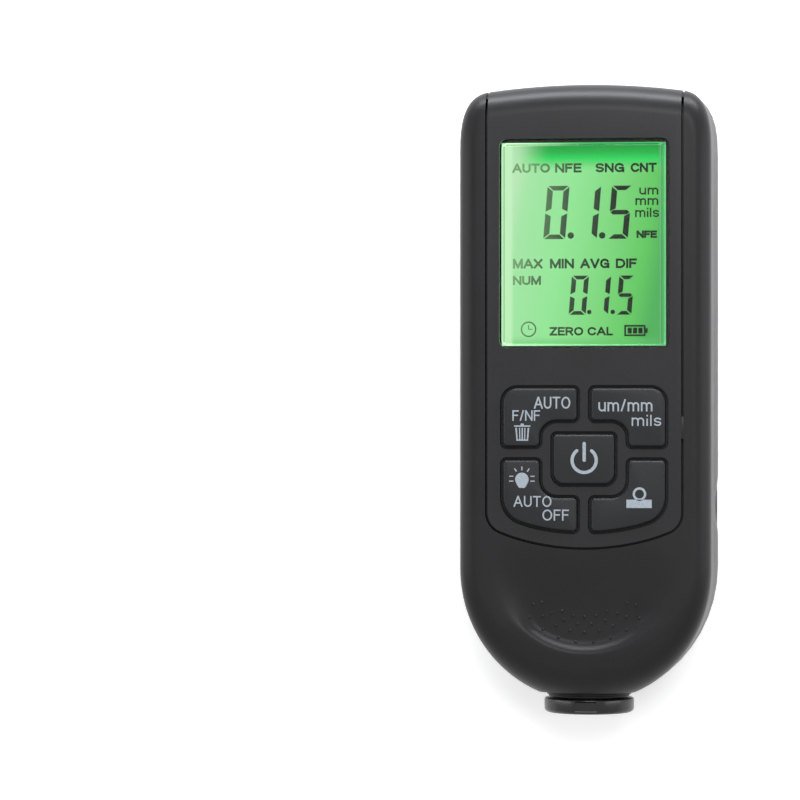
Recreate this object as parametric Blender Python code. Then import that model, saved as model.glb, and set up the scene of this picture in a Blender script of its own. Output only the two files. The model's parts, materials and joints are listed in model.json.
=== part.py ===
"""Coating thickness gauge: a hand-held meter with a lit display, five keys and a spring-loaded probe.

The gauge lies on its back. X runs across it, Y towards the display end and Z out of its face, and
the origin is under its middle, on the surface that it lies on. All lengths are in metres.
"""

import math

import bmesh
import bpy
from mathutils import Matrix, Vector

# Fits
FIT_GAP = 0.0003  # air between pieces that touch or slide
OVERRUN = 0.002  # how far a cutter passes the surface that it cuts

# Facets
SMOOTH_ANGLE = math.radians(32)
FLAT_ANGLE = math.radians(0.3)  # faces that meet at less than this are one flat
ROUND_SIDES = 24
HIDDEN_SIDES = 16  # round pieces that only show with the case open
SCREW_SIDES = 12
ARC_STEPS = 4  # in a rounded corner of an outline
END_STEPS = 12  # in a quarter of the body's probe end
SIDE_STEPS = 3
CORNER_STEPS = 7
TOP_STEPS = 3
OUTER_EDGE_STEPS = 5  # in the rounding of the body's outer edges
PANEL_EDGE_STEPS = 4
INNER_EDGE_STEPS = 3
PANEL_FOOT_STEPS = 8
KEY_FIELD_STEPS = 6
LOWER_KEY_STEPS = 3
SCOOP_SIDES = 32
SCOOP_RINGS = 7
GRIP_STEPS = 8
CONTACT_STEPS = 8
NOSE_STEPS = 3
SPRING_STEPS = 10  # in one turn
SPRING_WIRE_SIDES = 6
LEAD_STEPS = 10
LEAD_SIDES = 8

# Body form, at the parting plane between the two housings
BODY_WIDTH = 0.0480
TOP_CAP_LENGTH = 0.0118  # from the visible area to the crown of the display end
TOP_ARC_RADIUS = 0.138
CORNER_WIDTH = 0.0060  # top corners are superellipses, longer than they are wide
CORNER_LENGTH = 0.0130
CORNER_POWER = 2.7
LEAST_CORNER_WIDTH = 0.0018  # the corners of inner surfaces stay at least this large
LEAST_CORNER_LENGTH = 0.0035
END_CENTRE_Y = -0.0318  # the probe end is half an ellipse about this line
PROBE_REACH = 0.0027  # of the probe's tip past the probe end
THICKNESS = 0.0270
BOARD_LIFT = 0.0022  # from the seam up to the circuit board

# Rounding of the front housing's edges
EDGE_RADIUS = 0.0035
TOP_EDGE_RADIUS = 0.0053
END_EDGE_LENGTH = 0.0095
END_EDGE_DROP = 0.0085
FRONT_DRAFT = 0.00015

# Rounding of the rear housing's edges
BACK_EDGE_RADIUS = 0.0062
BACK_TOP_RADIUS = 0.0070
BACK_END_LENGTH = 0.0125
BACK_END_DROP = 0.000925  # from the widest line down to where the probe end turns in
REAR_BULGE = 0.00035

# Walls
SIDE_WALL = 0.0020
END_WALL = 0.0026
PANEL_THICKNESS = 0.0016
LEDGE_THICKNESS = 0.0013  # the shelf that the face panel is bonded to
LIP_SETBACK = 0.00115  # the front housing's locating lip, measured in from the outer surface
LIP_HEIGHT = 0.0012
GRIP_CENTRE_Y = -0.0201  # finger recess in each side of the rear housing
GRIP_LENGTH = 0.0111
GRIP_DEPTH = 0.0005
GRIP_FOOT_Z = 0.0045

# Face panel
CHEEK_WIDTH = 0.0057  # from the panel to the side of the body
PANEL_FOOT_Y = -0.0276
PANEL_FOOT_RADIUS = 0.0448
PANEL_CORNER_RADIUS = 0.0038
GROOVE_WIDTH = 0.00045
WINDOW_BORDER = 0.0022  # from the window to the side of the panel
WINDOW_FOOT_BORDER = 0.0007  # from the visible area to the window
WINDOW_TOP_BORDER = 0.0012
WINDOW_CORNER_RADIUS = 0.0016

# Keys, by the openings that they stand in
KEYPAD_BORDER = 0.0024  # from the panel's edge to the outer keys
KEYPAD_TOP_Y = 0.0030
KEY_WEB = 0.0015  # bar of the panel between two openings
KEY_GAP = 0.0006
KEY_RISE = 0.0004  # height of the key tops over the panel
KEY_EDGE = 0.0004
KEY_FLANGE_WIDTH = 0.0003
KEY_FLANGE_THICKNESS = 0.0008
KEY_TRAVEL = 0.0009
SMALL_KEY_RADIUS = 0.0013
LARGE_KEY_RADIUS = 0.0033
LOWER_KEY_FLAT = 0.00275  # from the power key's column to the lower keys' large corners
INNER_KEY_RADIUS = 0.0027
UPPER_ARM_Y = -0.0042  # lower edge of the upper keys beside the power key
UPPER_KEY_FOOT_Y = -0.0091
POWER_KEY_HALF_WIDTH = 0.00635
POWER_KEY_FOOT_Y = -0.0162
POWER_KEY_TOP_RADIUS = 0.0012
POWER_KEY_FOOT_RADIUS = 0.0025
PLUNGER_RADIUS = 0.0022
PLUNGER_INSET_X = 0.0057  # from the outer keys' side line to their plungers
PLUNGER_INSET_Y = 0.0040  # from the outer keys' top or foot line to their plungers

# Thumb scoop
SCOOP_CENTRE_Y = -0.0305
SCOOP_RADIUS = 0.0172
SCOOP_DEPTH = 0.0022
SCOOP_START_Y = -0.0265
SCOOP_FLOOR_Y = -0.0420
SCOOP_RIM = 0.0045
SCOOP_SKIM = 0.00006  # the cutter's floor starts this far over the face

# Display stack, from the board upwards
WINDOW_PANE_MARGIN = 0.0011  # how far the pane reaches past its opening
VIEW_BORDER = 0.00085  # from the visible area to the side of the window
VIEW_LENGTH = 0.0377
VIEW_FOOT_Y = 0.0107
GLASS_MARGIN = 0.0014  # how far the glass reaches past the visible area
GLASS_THICKNESS = 0.0020
LIGHT_GUIDE_MARGIN = 0.0008
FRAME_WALL = 0.0012
FRAME_LIP_THICKNESS = 0.0006
CONTACT_STRIP_WIDTH = 0.0022
CONTACT_STRIP_INSET = 0.00315  # from the side of the glass
LED_WIDTH = 0.0030
LED_LENGTH = 0.0014
LED_SPACING = 0.0160

# Circuit board
DISPLAY_ROOM = 0.0078  # from the board's underside to the ceiling over it
BOARD_THICKNESS = 0.0012
BOARD_SIDE_GAP = 0.0008
BOARD_TOP_INSET = 0.0022  # from the top of the visible area
BOARD_FOOT_Y = -0.0352
BOARD_CORNER = 0.0030
POST_INSET = 0.0050  # from the side of the body
POST_Y = 0.0052
POST_RADIUS = 0.0020
CHIP_SIDE = 0.0100
CHIP_THICKNESS = 0.0014
CHIP_Y = -0.0080
BUZZER_RADIUS = 0.0045
BUZZER_HEIGHT = 0.0030
BUZZER_X = -0.0060
BUZZER_Y = 0.0350
SOCKET_WIDTH = 0.0056
SOCKET_LENGTH = 0.0036
SOCKET_HEIGHT = 0.0026
SOCKET_Y = -0.0312

# Key mat
MAT_THICKNESS = 0.0008
MAT_MARGIN = 0.0007  # past the key openings
DOME_RADIUS = 0.0031
DOME_PRESSED_HEIGHT = 0.0013  # of a dome whose key is pressed home

# Cells and their bay
CELL_LENGTH = 0.0445
CELL_NUB_RADIUS = 0.0019
CELL_NUB_LENGTH = 0.0010
CELL_GAP = 0.0005  # between the two cells
BAY_CENTRE_Y = -0.0023
BAY_WALL = 0.0014
BAY_ROOF_THICKNESS = 0.0011  # up to the seam
CONTACT_THICKNESS = 0.0004
CONTACT_SPACE = 0.0030  # between the two contacts at the bay's foot
CONTACT_INSET = 0.00175  # from a cell's rim to the ends of its contacts
CONTACT_BOW = 0.0016
TAB_WIDTH = 0.0024
TAB_THICKNESS = 0.0003

# Battery cover
COVER_MARGIN = 0.00295  # from the bay to the side of its cover
COVER_SKIN = 0.0016
COVER_TOP_Y = 0.0250
COVER_SETBACK = 0.0060  # from the neck's end to the foot of the cover
COVER_RAIL_WIDTH = 0.0013
COVER_RAIL_THICKNESS = 0.0009
COVER_RAIL_INSET = 0.0014
COVER_LIP = 0.0012  # the housing's lip that carries each rail
COVER_FLARE_Y = -0.0440  # below this line the cover is as wide as its rails
COVER_SHELF = 0.0012  # wall between the rails and the inside
THUMB_RIB_COUNT = 5
THUMB_RIB_PITCH = 0.0016
THUMB_RIB_WIDTH = 0.0007
THUMB_RIB_DEPTH = 0.0004
THUMB_RIB_HALF_LENGTH = 0.0055
THUMB_RIB_Y = -0.0390

# Screws
SCREW_RADIUS = 0.0011
SCREW_HEAD_RADIUS = 0.0021
SCREW_HEAD_HEIGHT = 0.0015
SCREW_SEAT_Z = 0.0052
SCREW_BITE = 0.0036  # of a housing screw past the seam
SCREW_CROSS_LENGTH = 0.0022
SCREW_CROSS_WIDTH = 0.0006
SCREW_CROSS_DEPTH = 0.0007
REAR_BOSS_RADIUS = 0.0032
FRONT_BOSS_RADIUS = 0.0023
TOP_SCREW_INSET = 0.0085  # from the side of the body
LOW_SCREW_INSET = 0.0118
LOW_SCREW_Y = -0.0415
BOARD_SCREW_RADIUS = 0.0009
BOARD_SCREW_HEAD_RADIUS = 0.0018
BOARD_SCREW_HEAD_HEIGHT = 0.0012
BOARD_SCREW_LENGTH = 0.0052

# Probe, on an axis along Y in the parting plane
PROBE_TIP_Y = -0.0602
PROBE_TRAVEL = 0.0006
RING_RADIUS = 0.0086
RING_LENGTH = 0.0026
RING_BEVEL = 0.0005
RING_PAD_WIDTH = 0.0040
RING_PAD_RISE = 0.0005
RING_NOTCH_DEPTH = 0.0006
RING_NOTCH_HALF_WIDTH = 0.0022
SPIGOT_RADIUS = 0.0055
SPIGOT_LENGTH = 0.0148
SPIGOT_COLLAR_RADIUS = 0.0066
SPIGOT_COLLAR_START = 0.0062
SPIGOT_COLLAR_LENGTH = 0.0014
PROBE_BORE_RADIUS = 0.0037
PROBE_END_WALL = 0.0012
PIN_RADIUS = 0.0012
PIN_TIP_RADIUS = 0.0006
PIN_NOSE_LENGTH = 0.0006
BOBBIN_LENGTH = 0.0080
BOBBIN_FLANGE = 0.0008
BOBBIN_DRUM_RADIUS = 0.0019
COIL_THICKNESS = 0.0009
SPRING_TURNS = 4
SPRING_WIRE_RADIUS = 0.00022
SPRING_RADIUS = 0.0024
RETAINER_THICKNESS = 0.0012
RETAINER_HOLE_RADIUS = 0.0011
NECK_RADIUS = 0.00775
NECK_STEP = 0.00035
NECK_STEP_LENGTH = 0.00037
NECK_STEP_COUNT = 3
NECK_GAP = 0.0005  # between the neck's end and the ring
NECK_BLOCK_WALL = 0.0015
NECK_LENGTH = 0.0095
LEAD_RADIUS = 0.0007

# Worked out from the sizes above
HALF_WIDTH = BODY_WIDTH / 2
VIEW_TOP_Y = VIEW_FOOT_Y + VIEW_LENGTH
TOP_Y = VIEW_TOP_Y + TOP_CAP_LENGTH
END_LENGTH = END_CENTRE_Y - PROBE_TIP_Y - PROBE_REACH
BEYOND = 2 * TOP_Y  # a distance past every edge of the body
PANEL_HALF_WIDTH = HALF_WIDTH - CHEEK_WIDTH
WINDOW_WIDTH = 2 * (PANEL_HALF_WIDTH - WINDOW_BORDER)
WINDOW_LENGTH = WINDOW_FOOT_BORDER + VIEW_LENGTH + WINDOW_TOP_BORDER
WINDOW_CENTRE_Y = VIEW_FOOT_Y - WINDOW_FOOT_BORDER + WINDOW_LENGTH / 2
VIEW_WIDTH = WINDOW_WIDTH - 2 * VIEW_BORDER
BOARD_HALF_WIDTH = HALF_WIDTH - SIDE_WALL - BOARD_SIDE_GAP
BOARD_TOP_Y = VIEW_TOP_Y - BOARD_TOP_INSET
POST_X = HALF_WIDTH - POST_INSET
TOP_SCREW_X = HALF_WIDTH - TOP_SCREW_INSET
LOW_SCREW_X = HALF_WIDTH - LOW_SCREW_INSET
FACE_WALL = PANEL_THICKNESS + FIT_GAP + LEDGE_THICKNESS
CEILING_Z = THICKNESS - FACE_WALL
LEDGE_Z = CEILING_Z + LEDGE_THICKNESS
PANEL_UNDERSIDE_Z = THICKNESS - PANEL_THICKNESS
BOARD_Z = CEILING_Z - DISPLAY_ROOM
SEAM_Z = BOARD_Z - BOARD_LIFT
FRONT_RIM_Z = SEAM_Z + FIT_GAP / 2
REAR_RIM_Z = SEAM_Z - FIT_GAP / 2
REAR_WIDEST_Z = (REAR_RIM_Z + BACK_EDGE_RADIUS) / 2
BACK_END_RISE = REAR_WIDEST_Z - BACK_END_DROP
BOARD_TOP_Z = BOARD_Z + BOARD_THICKNESS
STACK_Z = BOARD_TOP_Z + FIT_GAP
FRAME_TOP_Z = CEILING_Z - FIT_GAP
GLASS_TOP_Z = FRAME_TOP_Z - FRAME_LIP_THICKNESS - FIT_GAP
GLASS_Z = GLASS_TOP_Z - GLASS_THICKNESS
DOME_TOP_Z = STACK_Z + MAT_THICKNESS + DOME_PRESSED_HEIGHT + KEY_TRAVEL
KEYPAD_HALF_WIDTH = PANEL_HALF_WIDTH - KEYPAD_BORDER
PLUNGER_X = KEYPAD_HALF_WIDTH - PLUNGER_INSET_X
PANEL_ARC_Y = PANEL_FOOT_Y + PANEL_FOOT_RADIUS
KEYPAD_ARC_RADIUS = PANEL_FOOT_RADIUS - KEYPAD_BORDER
LOWER_KEY_TOP_Y = UPPER_KEY_FOOT_Y - KEY_WEB
LOWER_ARM_Y = POWER_KEY_FOOT_Y - KEY_WEB
KEY_ARM_X = POWER_KEY_HALF_WIDTH + KEY_WEB
LOWER_KEY_RADIUS = KEYPAD_HALF_WIDTH - KEY_ARM_X - LOWER_KEY_FLAT
PROBE_Z = SEAM_Z
RING_FACE_Y = PROBE_TIP_Y + PROBE_TRAVEL
NECK_END_Y = RING_FACE_Y + RING_LENGTH + NECK_GAP
NECK_ROOT_Y = NECK_END_Y + NECK_LENGTH
COVER_FOOT_Y = NECK_END_Y + COVER_SETBACK
NECK_BORE_RADIUS = SPIGOT_RADIUS + FIT_GAP
NECK_GROOVE_RADIUS = SPIGOT_COLLAR_RADIUS + FIT_GAP
NECK_BLOCK_RADIUS = NECK_GROOVE_RADIUS + NECK_BLOCK_WALL
COVER_RAIL_Z = COVER_LIP + FIT_GAP
COVER_RAIL_TOP_Z = COVER_RAIL_Z + COVER_RAIL_THICKNESS
COVER_SLOT_Z = COVER_RAIL_TOP_Z + FIT_GAP
BAY_FLOOR_Z = COVER_SKIN
BAY_ROOF_Z = SEAM_Z - BAY_ROOF_THICKNESS
CELL_RADIUS = (BAY_ROOF_Z - BAY_FLOOR_Z) / 2 - FIT_GAP
CELL_Z = (BAY_ROOF_Z + BAY_FLOOR_Z) / 2
CELL_SPACING = 2 * CELL_RADIUS + CELL_GAP
BAY_HALF_WIDTH = CELL_SPACING / 2 + CELL_RADIUS + FIT_GAP
COVER_HALF_WIDTH = BAY_HALF_WIDTH + COVER_MARGIN
COVER_RAIL_HALF_WIDTH = COVER_HALF_WIDTH + COVER_RAIL_WIDTH
CONTACT_WIDTH = CELL_SPACING - CONTACT_SPACE
CONTACT_HEIGHT = 2 * (CELL_RADIUS - CONTACT_INSET)
CONTACT_DEPTH = CONTACT_THICKNESS + CONTACT_BOW
BAY_LENGTH = CELL_LENGTH + 2 * (CONTACT_DEPTH + 2 * FIT_GAP)
BAY_TOP_Y = BAY_CENTRE_Y + BAY_LENGTH / 2
BAY_FOOT_Y = BAY_CENTRE_Y - BAY_LENGTH / 2
SCREW_HEAD_Z = SCREW_SEAT_Z - FIT_GAP
SCREW_LENGTH = SEAM_Z + SCREW_BITE - SCREW_HEAD_Z


def clear_scene():
    for obj in list(bpy.data.objects):
        bpy.data.objects.remove(obj, do_unlink=True)


def finish(name, colour, roughness, metallic=0.0, transmission=0.0):
    """A Principled material of one colour."""
    material = bpy.data.materials.new(name)
    material.use_nodes = True
    shader = material.node_tree.nodes["Principled BSDF"]
    shader.inputs["Base Color"].default_value = (*colour, 1.0)
    shader.inputs["Roughness"].default_value = roughness
    shader.inputs["Metallic"].default_value = metallic
    shader.inputs["Transmission Weight"].default_value = transmission
    return material


def piece(name, shape, material):
    """Turn a bmesh into a named object with its material and smooth round faces."""
    mesh = bpy.data.meshes.new(name)
    shape.to_mesh(mesh)
    shape.free()
    mesh.materials.append(material)
    mesh.shade_smooth()
    mesh.set_sharp_from_angle(angle=SMOOTH_ANGLE)
    obj = bpy.data.objects.new(name, mesh)
    bpy.context.scene.collection.objects.link(obj)
    return obj


def tool(name, shape):
    """Turn a bmesh into a hidden object that shapes other pieces."""
    mesh = bpy.data.meshes.new(name)
    shape.to_mesh(mesh)
    shape.free()
    obj = bpy.data.objects.new(name, mesh)
    obj.hide_render = True
    obj.display_type = "WIRE"
    bpy.context.scene.collection.objects.link(obj)
    return obj


def combine(target, operation, others, solver):
    """Add one Boolean modifier for each of the other objects."""
    for other in others:
        modifier = target.modifiers.new(f"{operation.lower()} {other.name}", "BOOLEAN")
        modifier.operation = operation
        modifier.solver = solver
        modifier.object = other
    return target


def cut(target, *others, solver="EXACT"):
    return combine(target, "DIFFERENCE", others, solver)


def add(target, *others, solver="EXACT"):
    return combine(target, "UNION", others, solver)


def keep(target, *others, solver="EXACT"):
    return combine(target, "INTERSECT", others, solver)


def merge_flats(target):
    """Join the flat faces that Booleans have split, which leaves the form as it is."""
    modifier = target.modifiers.new("merge flats", "DECIMATE")
    modifier.decimate_type = "DISSOLVE"
    modifier.angle_limit = FLAT_ANGLE
    return target


def set_origin(obj, x, y, z):
    """Move an object's origin without moving its mesh."""
    place = Vector((x, y, z))
    for vertex in obj.data.vertices:
        vertex.co -= place
    obj.location = place


def loft(rings, closed=False):
    """A solid through rings of equally many points: capped at both ends, or closed on itself."""
    shape = bmesh.new()
    loops = [[shape.verts.new(point) for point in ring] for ring in rings]
    pairs = list(zip(loops, loops[1:]))
    if closed:
        pairs.append((loops[-1], loops[0]))
    else:
        shape.faces.new(reversed(loops[0]))
        shape.faces.new(loops[-1])
    for lower, upper in pairs:
        for index, corner in enumerate(lower):
            following = (index + 1) % len(lower)
            shape.faces.new((corner, lower[following], upper[following], upper[index]))
    bmesh.ops.triangulate(shape, faces=shape.faces)
    if shape.calc_volume(signed=True) < 0:
        bmesh.ops.reverse_faces(shape, faces=shape.faces)
    return shape


def at_height(outline, z):
    return [(point.x, point.y, z) for point in outline]


def prism(outline, low, high):
    """A flat outline raised between two heights."""
    return loft([at_height(outline, low), at_height(outline, high)])


def block(left, right, near, far, low, high):
    corners = (Vector((left, near)), Vector((right, near)), Vector((right, far)), Vector((left, far)))
    return prism(corners, low, high)


def disc(x, y, radius, low, high, sides=ROUND_SIDES):
    """An upright cylinder."""
    turns = [2 * math.pi * index / sides for index in range(sides)]
    outline = [Vector((x + radius * math.cos(turn), y + radius * math.sin(turn))) for turn in turns]
    return prism(outline, low, high)


def turned(profile, closed=False, centre=(0.0, 0.0), upright=False, sides=ROUND_SIDES):
    """Turn (along, radius) pairs about the probe axis, or about an upright axis through a centre."""
    rings = []
    for along, radius in profile:
        ring = []
        for index in range(sides):
            turn = 2 * math.pi * index / sides
            across = radius * math.cos(turn)
            aside = radius * math.sin(turn)
            if upright:
                ring.append((centre[0] + across, centre[1] + aside, along))
            else:
                ring.append((centre[0] + across, along, centre[1] + aside))
        rings.append(ring)
    return loft(rings, closed)


def rounded(corners, steps=ARC_STEPS):
    """An outline through (x, y, radius) corners, each rounded by an arc that meets its edges."""
    points = []
    for index, (x, y, radius) in enumerate(corners):
        here = Vector((x, y))
        if radius == 0:
            points.append(here)
            continue
        back = (Vector(corners[index - 1][:2]) - here).normalized()
        ahead = (Vector(corners[(index + 1) % len(corners)][:2]) - here).normalized()
        half = back.angle(ahead) / 2
        centre = here + (back + ahead).normalized() * (radius / math.sin(half))
        start = here + back * (radius / math.tan(half)) - centre
        finish_at = here + ahead * (radius / math.tan(half)) - centre
        sweep = start.angle_signed(finish_at)
        for step in range(steps + 1):
            spoke = start.copy()
            spoke.rotate(Matrix.Rotation(-sweep * step / steps, 2))
            points.append(centre + spoke)
    return points


def grown(outline, distance):
    """A counter-clockwise outline moved outwards by a distance."""
    moved = []
    for index, point in enumerate(outline):
        before = (point - outline[index - 1]).normalized()
        after = (outline[(index + 1) % len(outline)] - point).normalized()
        normal = Vector((before.y + after.y, -before.x - after.x)).normalized()
        reach = normal.dot(Vector((before.y, -before.x)))
        moved.append(point + normal * (distance / reach))
    return moved


def plan_outline(side=0.0, top=0.0, end=0.0):
    """The body's outline at the seam, moved in by a distance at the sides and at each end."""
    half = HALF_WIDTH - side
    width = max(CORNER_WIDTH - side, LEAST_CORNER_WIDTH)
    length = max(CORNER_LENGTH - top, LEAST_CORNER_LENGTH)
    top_y = TOP_Y - top
    corner_y = top_y - length
    right = []
    for step in range(END_STEPS):
        angle = math.radians(90 * step / END_STEPS - 90)
        y = END_CENTRE_Y + (END_LENGTH - end) * math.sin(angle)
        right.append(Vector((half * math.cos(angle), y)))
    for step in range(SIDE_STEPS):
        y = END_CENTRE_Y + (corner_y - END_CENTRE_Y) * step / SIDE_STEPS
        right.append(Vector((half, y)))
    for step in range(CORNER_STEPS + 1):
        angle = math.radians(90 * step / CORNER_STEPS)
        across = max(math.cos(angle), 0.0) ** (2 / CORNER_POWER)
        along = math.sin(angle) ** (2 / CORNER_POWER)
        right.append(Vector((half - width * (1 - across), corner_y + length * along)))
    for step in range(1, TOP_STEPS + 1):
        right.append(Vector(((half - width) * (1 - step / TOP_STEPS), top_y)))
    for point in right:
        arched = min(max((point.y - corner_y) / length, 0.0), 1.0)
        point.y -= arched * point.x**2 / (2 * TOP_ARC_RADIUS)
    return right + [Vector((-point.x, point.y)) for point in reversed(right[1:-1])]


def plan_normals():
    """The outward direction at each point of the body's outline."""
    points = plan_outline()
    normals = []
    for index in range(len(points)):
        along = points[(index + 1) % len(points)] - points[index - 1]
        normals.append(Vector((along.y, -along.x)).normalized())
    return normals


def mixed(normal, side, top, end):
    """A size that differs at the sides, the display end and the probe end, blended by direction."""
    top_share = max(normal.y, 0.0) ** 2
    end_share = max(-normal.y, 0.0) ** 2
    return side * (1 - top_share - end_share) + top * top_share + end * end_share


def level_ring(inward, z):
    """The outline at one height, moved in by a distance at the sides and at each end."""
    return [(point.x, point.y, z) for point in plan_outline(*inward)]


def edge_ring(turn, start, end, surface, drops, direction):
    """The outline where a rounded edge has turned from the side by an angle.

    Start and end are the insets where the rounding starts and where it meets the flat, and drops
    are its heights, each for the sides, the display end and the probe end.
    """
    ring = []
    share = 1 - math.cos(turn)
    for outer, inner, normal in zip(plan_outline(*start), plan_outline(*end), plan_normals()):
        spot = outer.lerp(inner, share)
        drop = mixed(normal, *drops) * (1 - math.sin(turn))
        ring.append((spot.x, spot.y, surface - direction * drop))
    return ring


def front_ring(turn, walls=(0.0, 0.0, 0.0), face_wall=0.0):
    """The front housing's form, or its inside, where its edge has turned towards the face."""
    start = [wall + FRONT_DRAFT for wall in walls]
    end = [length + FRONT_DRAFT for length in (EDGE_RADIUS, TOP_EDGE_RADIUS, END_EDGE_LENGTH)]
    full = (EDGE_RADIUS, TOP_EDGE_RADIUS, END_EDGE_DROP)
    drops = [drop - wall for drop, wall in zip(full, walls)]
    return edge_ring(turn, start, end, THICKNESS - face_wall, drops, 1)


def rear_ring(turn, wall=0.0):
    """The rear housing's form, or its inside, where its edge has turned towards the back."""
    lengths = (BACK_EDGE_RADIUS, BACK_TOP_RADIUS, BACK_END_LENGTH)
    start = (wall - REAR_BULGE, wall, wall)
    end = (lengths[0] - REAR_BULGE, lengths[1], lengths[2])
    drops = [drop - wall for drop in (BACK_EDGE_RADIUS, BACK_TOP_RADIUS, BACK_END_RISE)]
    return edge_ring(turn, start, end, wall, drops, -1)


def quarter(steps):
    """Angles from 0 to a right angle."""
    return [math.radians(90 * step / steps) for step in range(steps + 1)]


def front_form(low):
    """The outside of the front half, from a height near the seam up to the face."""
    return loft([level_ring((0.0,) * 3, low)] + [front_ring(turn) for turn in quarter(OUTER_EDGE_STEPS)])


def front_core(walls, face_wall, steps):
    """The front form less its walls, open past the seam."""
    rings = [level_ring(walls, FRONT_RIM_Z - LIP_HEIGHT - OVERRUN)]
    rings += [front_ring(turn, walls, face_wall) for turn in quarter(steps)]
    return loft(rings)


def rear_form():
    """The outside of the rear half, from just past the seam down to the back."""
    rings = [level_ring((0.0,) * 3, z) for z in (REAR_RIM_Z + OVERRUN, REAR_RIM_Z)]
    rings.append(level_ring((-REAR_BULGE * math.sqrt(0.5), 0.0, 0.0), REAR_WIDEST_Z))
    rings += [rear_ring(turn) for turn in quarter(OUTER_EDGE_STEPS)]
    return loft(rings)


def rear_core():
    """The rear form less its walls, wider at the rim to take the front housing's lip."""
    rebate = (LIP_SETBACK - FIT_GAP,) * 3
    rebate_z = FRONT_RIM_Z - LIP_HEIGHT - FIT_GAP
    rings = [level_ring(rebate, REAR_RIM_Z + 2 * OVERRUN), level_ring(rebate, rebate_z)]
    rings.append(level_ring((SIDE_WALL,) * 3, rebate_z))
    rings += [rear_ring(turn, SIDE_WALL) for turn in quarter(INNER_EDGE_STEPS)]
    return loft(rings)


def arc_y(x, radius):
    """Height of an arc about the panel's own centre, at a distance from the middle."""
    return PANEL_ARC_Y - math.sqrt(radius**2 - x**2)


def bowed_foot(half, arc_radius, corner_radius, steps):
    """Corners along an arc about the panel's own centre, from side to side."""
    corners = []
    for step in range(steps + 1):
        x = half * (2 * step / steps - 1)
        corners.append((x, arc_y(x, arc_radius), corner_radius if step in (0, steps) else 0.0))
    return corners


def panel_outline():
    """The face panel in plan: straight sides, round corners and a bowed foot, open at the top end."""
    far = TOP_Y + OVERRUN
    foot = bowed_foot(PANEL_HALF_WIDTH, PANEL_FOOT_RADIUS, PANEL_CORNER_RADIUS, PANEL_FOOT_STEPS)
    return rounded([(-PANEL_HALF_WIDTH, far, 0.0), *foot, (PANEL_HALF_WIDTH, far, 0.0)])


def centred(width, length, centre_y, radius):
    """A rounded rectangle on the middle line."""
    near = centre_y - length / 2
    far = centre_y + length / 2
    half = width / 2
    corners = ((-half, near, radius), (half, near, radius), (half, far, radius), (-half, far, radius))
    return rounded(corners)


def upper_key_opening():
    inner = KEY_WEB / 2
    return rounded(
        (
            (inner, UPPER_ARM_Y, SMALL_KEY_RADIUS),
            (KEY_ARM_X, UPPER_ARM_Y, INNER_KEY_RADIUS),
            (KEY_ARM_X, UPPER_KEY_FOOT_Y, SMALL_KEY_RADIUS),
            (KEYPAD_HALF_WIDTH, UPPER_KEY_FOOT_Y, SMALL_KEY_RADIUS),
            (KEYPAD_HALF_WIDTH, KEYPAD_TOP_Y, LARGE_KEY_RADIUS),
            (inner, KEYPAD_TOP_Y, SMALL_KEY_RADIUS),
        )
    )


def lower_key_opening():
    inner = KEY_WEB / 2
    corners = []
    for step in range(LOWER_KEY_STEPS + 1):
        x = inner + (KEYPAD_HALF_WIDTH - inner) * step / LOWER_KEY_STEPS
        radius = {0: SMALL_KEY_RADIUS, LOWER_KEY_STEPS: LOWER_KEY_RADIUS}.get(step, 0.0)
        corners.append((x, arc_y(x, KEYPAD_ARC_RADIUS), radius))
    corners.append((KEYPAD_HALF_WIDTH, LOWER_KEY_TOP_Y, SMALL_KEY_RADIUS))
    corners.append((KEY_ARM_X, LOWER_KEY_TOP_Y, SMALL_KEY_RADIUS))
    corners.append((KEY_ARM_X, LOWER_ARM_Y, INNER_KEY_RADIUS))
    corners.append((inner, LOWER_ARM_Y, SMALL_KEY_RADIUS))
    return rounded(corners)


def power_key_opening():
    top = UPPER_ARM_Y - KEY_WEB
    return rounded(
        (
            (-POWER_KEY_HALF_WIDTH, POWER_KEY_FOOT_Y, POWER_KEY_FOOT_RADIUS),
            (POWER_KEY_HALF_WIDTH, POWER_KEY_FOOT_Y, POWER_KEY_FOOT_RADIUS),
            (POWER_KEY_HALF_WIDTH, top, POWER_KEY_TOP_RADIUS),
            (-POWER_KEY_HALF_WIDTH, top, POWER_KEY_TOP_RADIUS),
        )
    )


def mirrored(outline):
    """An outline on the other side of the middle line, still counter-clockwise."""
    return [Vector((-point.x, point.y)) for point in reversed(outline)]


def key_layout():
    """Each key's name with its opening and the point over its plunger."""
    upper = upper_key_opening()
    lower = lower_key_opening()
    upper_spot = Vector((PLUNGER_X, KEYPAD_TOP_Y - PLUNGER_INSET_Y))
    lower_spot = Vector((PLUNGER_X, LOWER_ARM_Y - PLUNGER_INSET_Y / 2))
    power_spot = Vector((0.0, (UPPER_ARM_Y - KEY_WEB + POWER_KEY_FOOT_Y) / 2))
    flip = Vector((-1.0, 1.0))
    return (
        ("key_delete", mirrored(upper), upper_spot * flip),
        ("key_units", upper, upper_spot),
        ("key_power", power_key_opening(), power_spot),
        ("key_light", mirrored(lower), lower_spot * flip),
        ("key_zero", lower, lower_spot),
    )


def scoop_depth(x, y):
    """Depth of the thumb scoop under the face at one place."""
    fall = min(max((SCOOP_START_Y - y) / (SCOOP_START_Y - SCOOP_FLOOR_Y), 0.0), 1.0)
    outward = math.hypot(x, y - SCOOP_CENTRE_Y) - (SCOOP_RADIUS - SCOOP_RIM)
    rim = min(max(outward / SCOOP_RIM, 0.0), 1.0)
    return SCOOP_DEPTH * fall**2 * (3 - 2 * fall) * (1 - rim**2)


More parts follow.
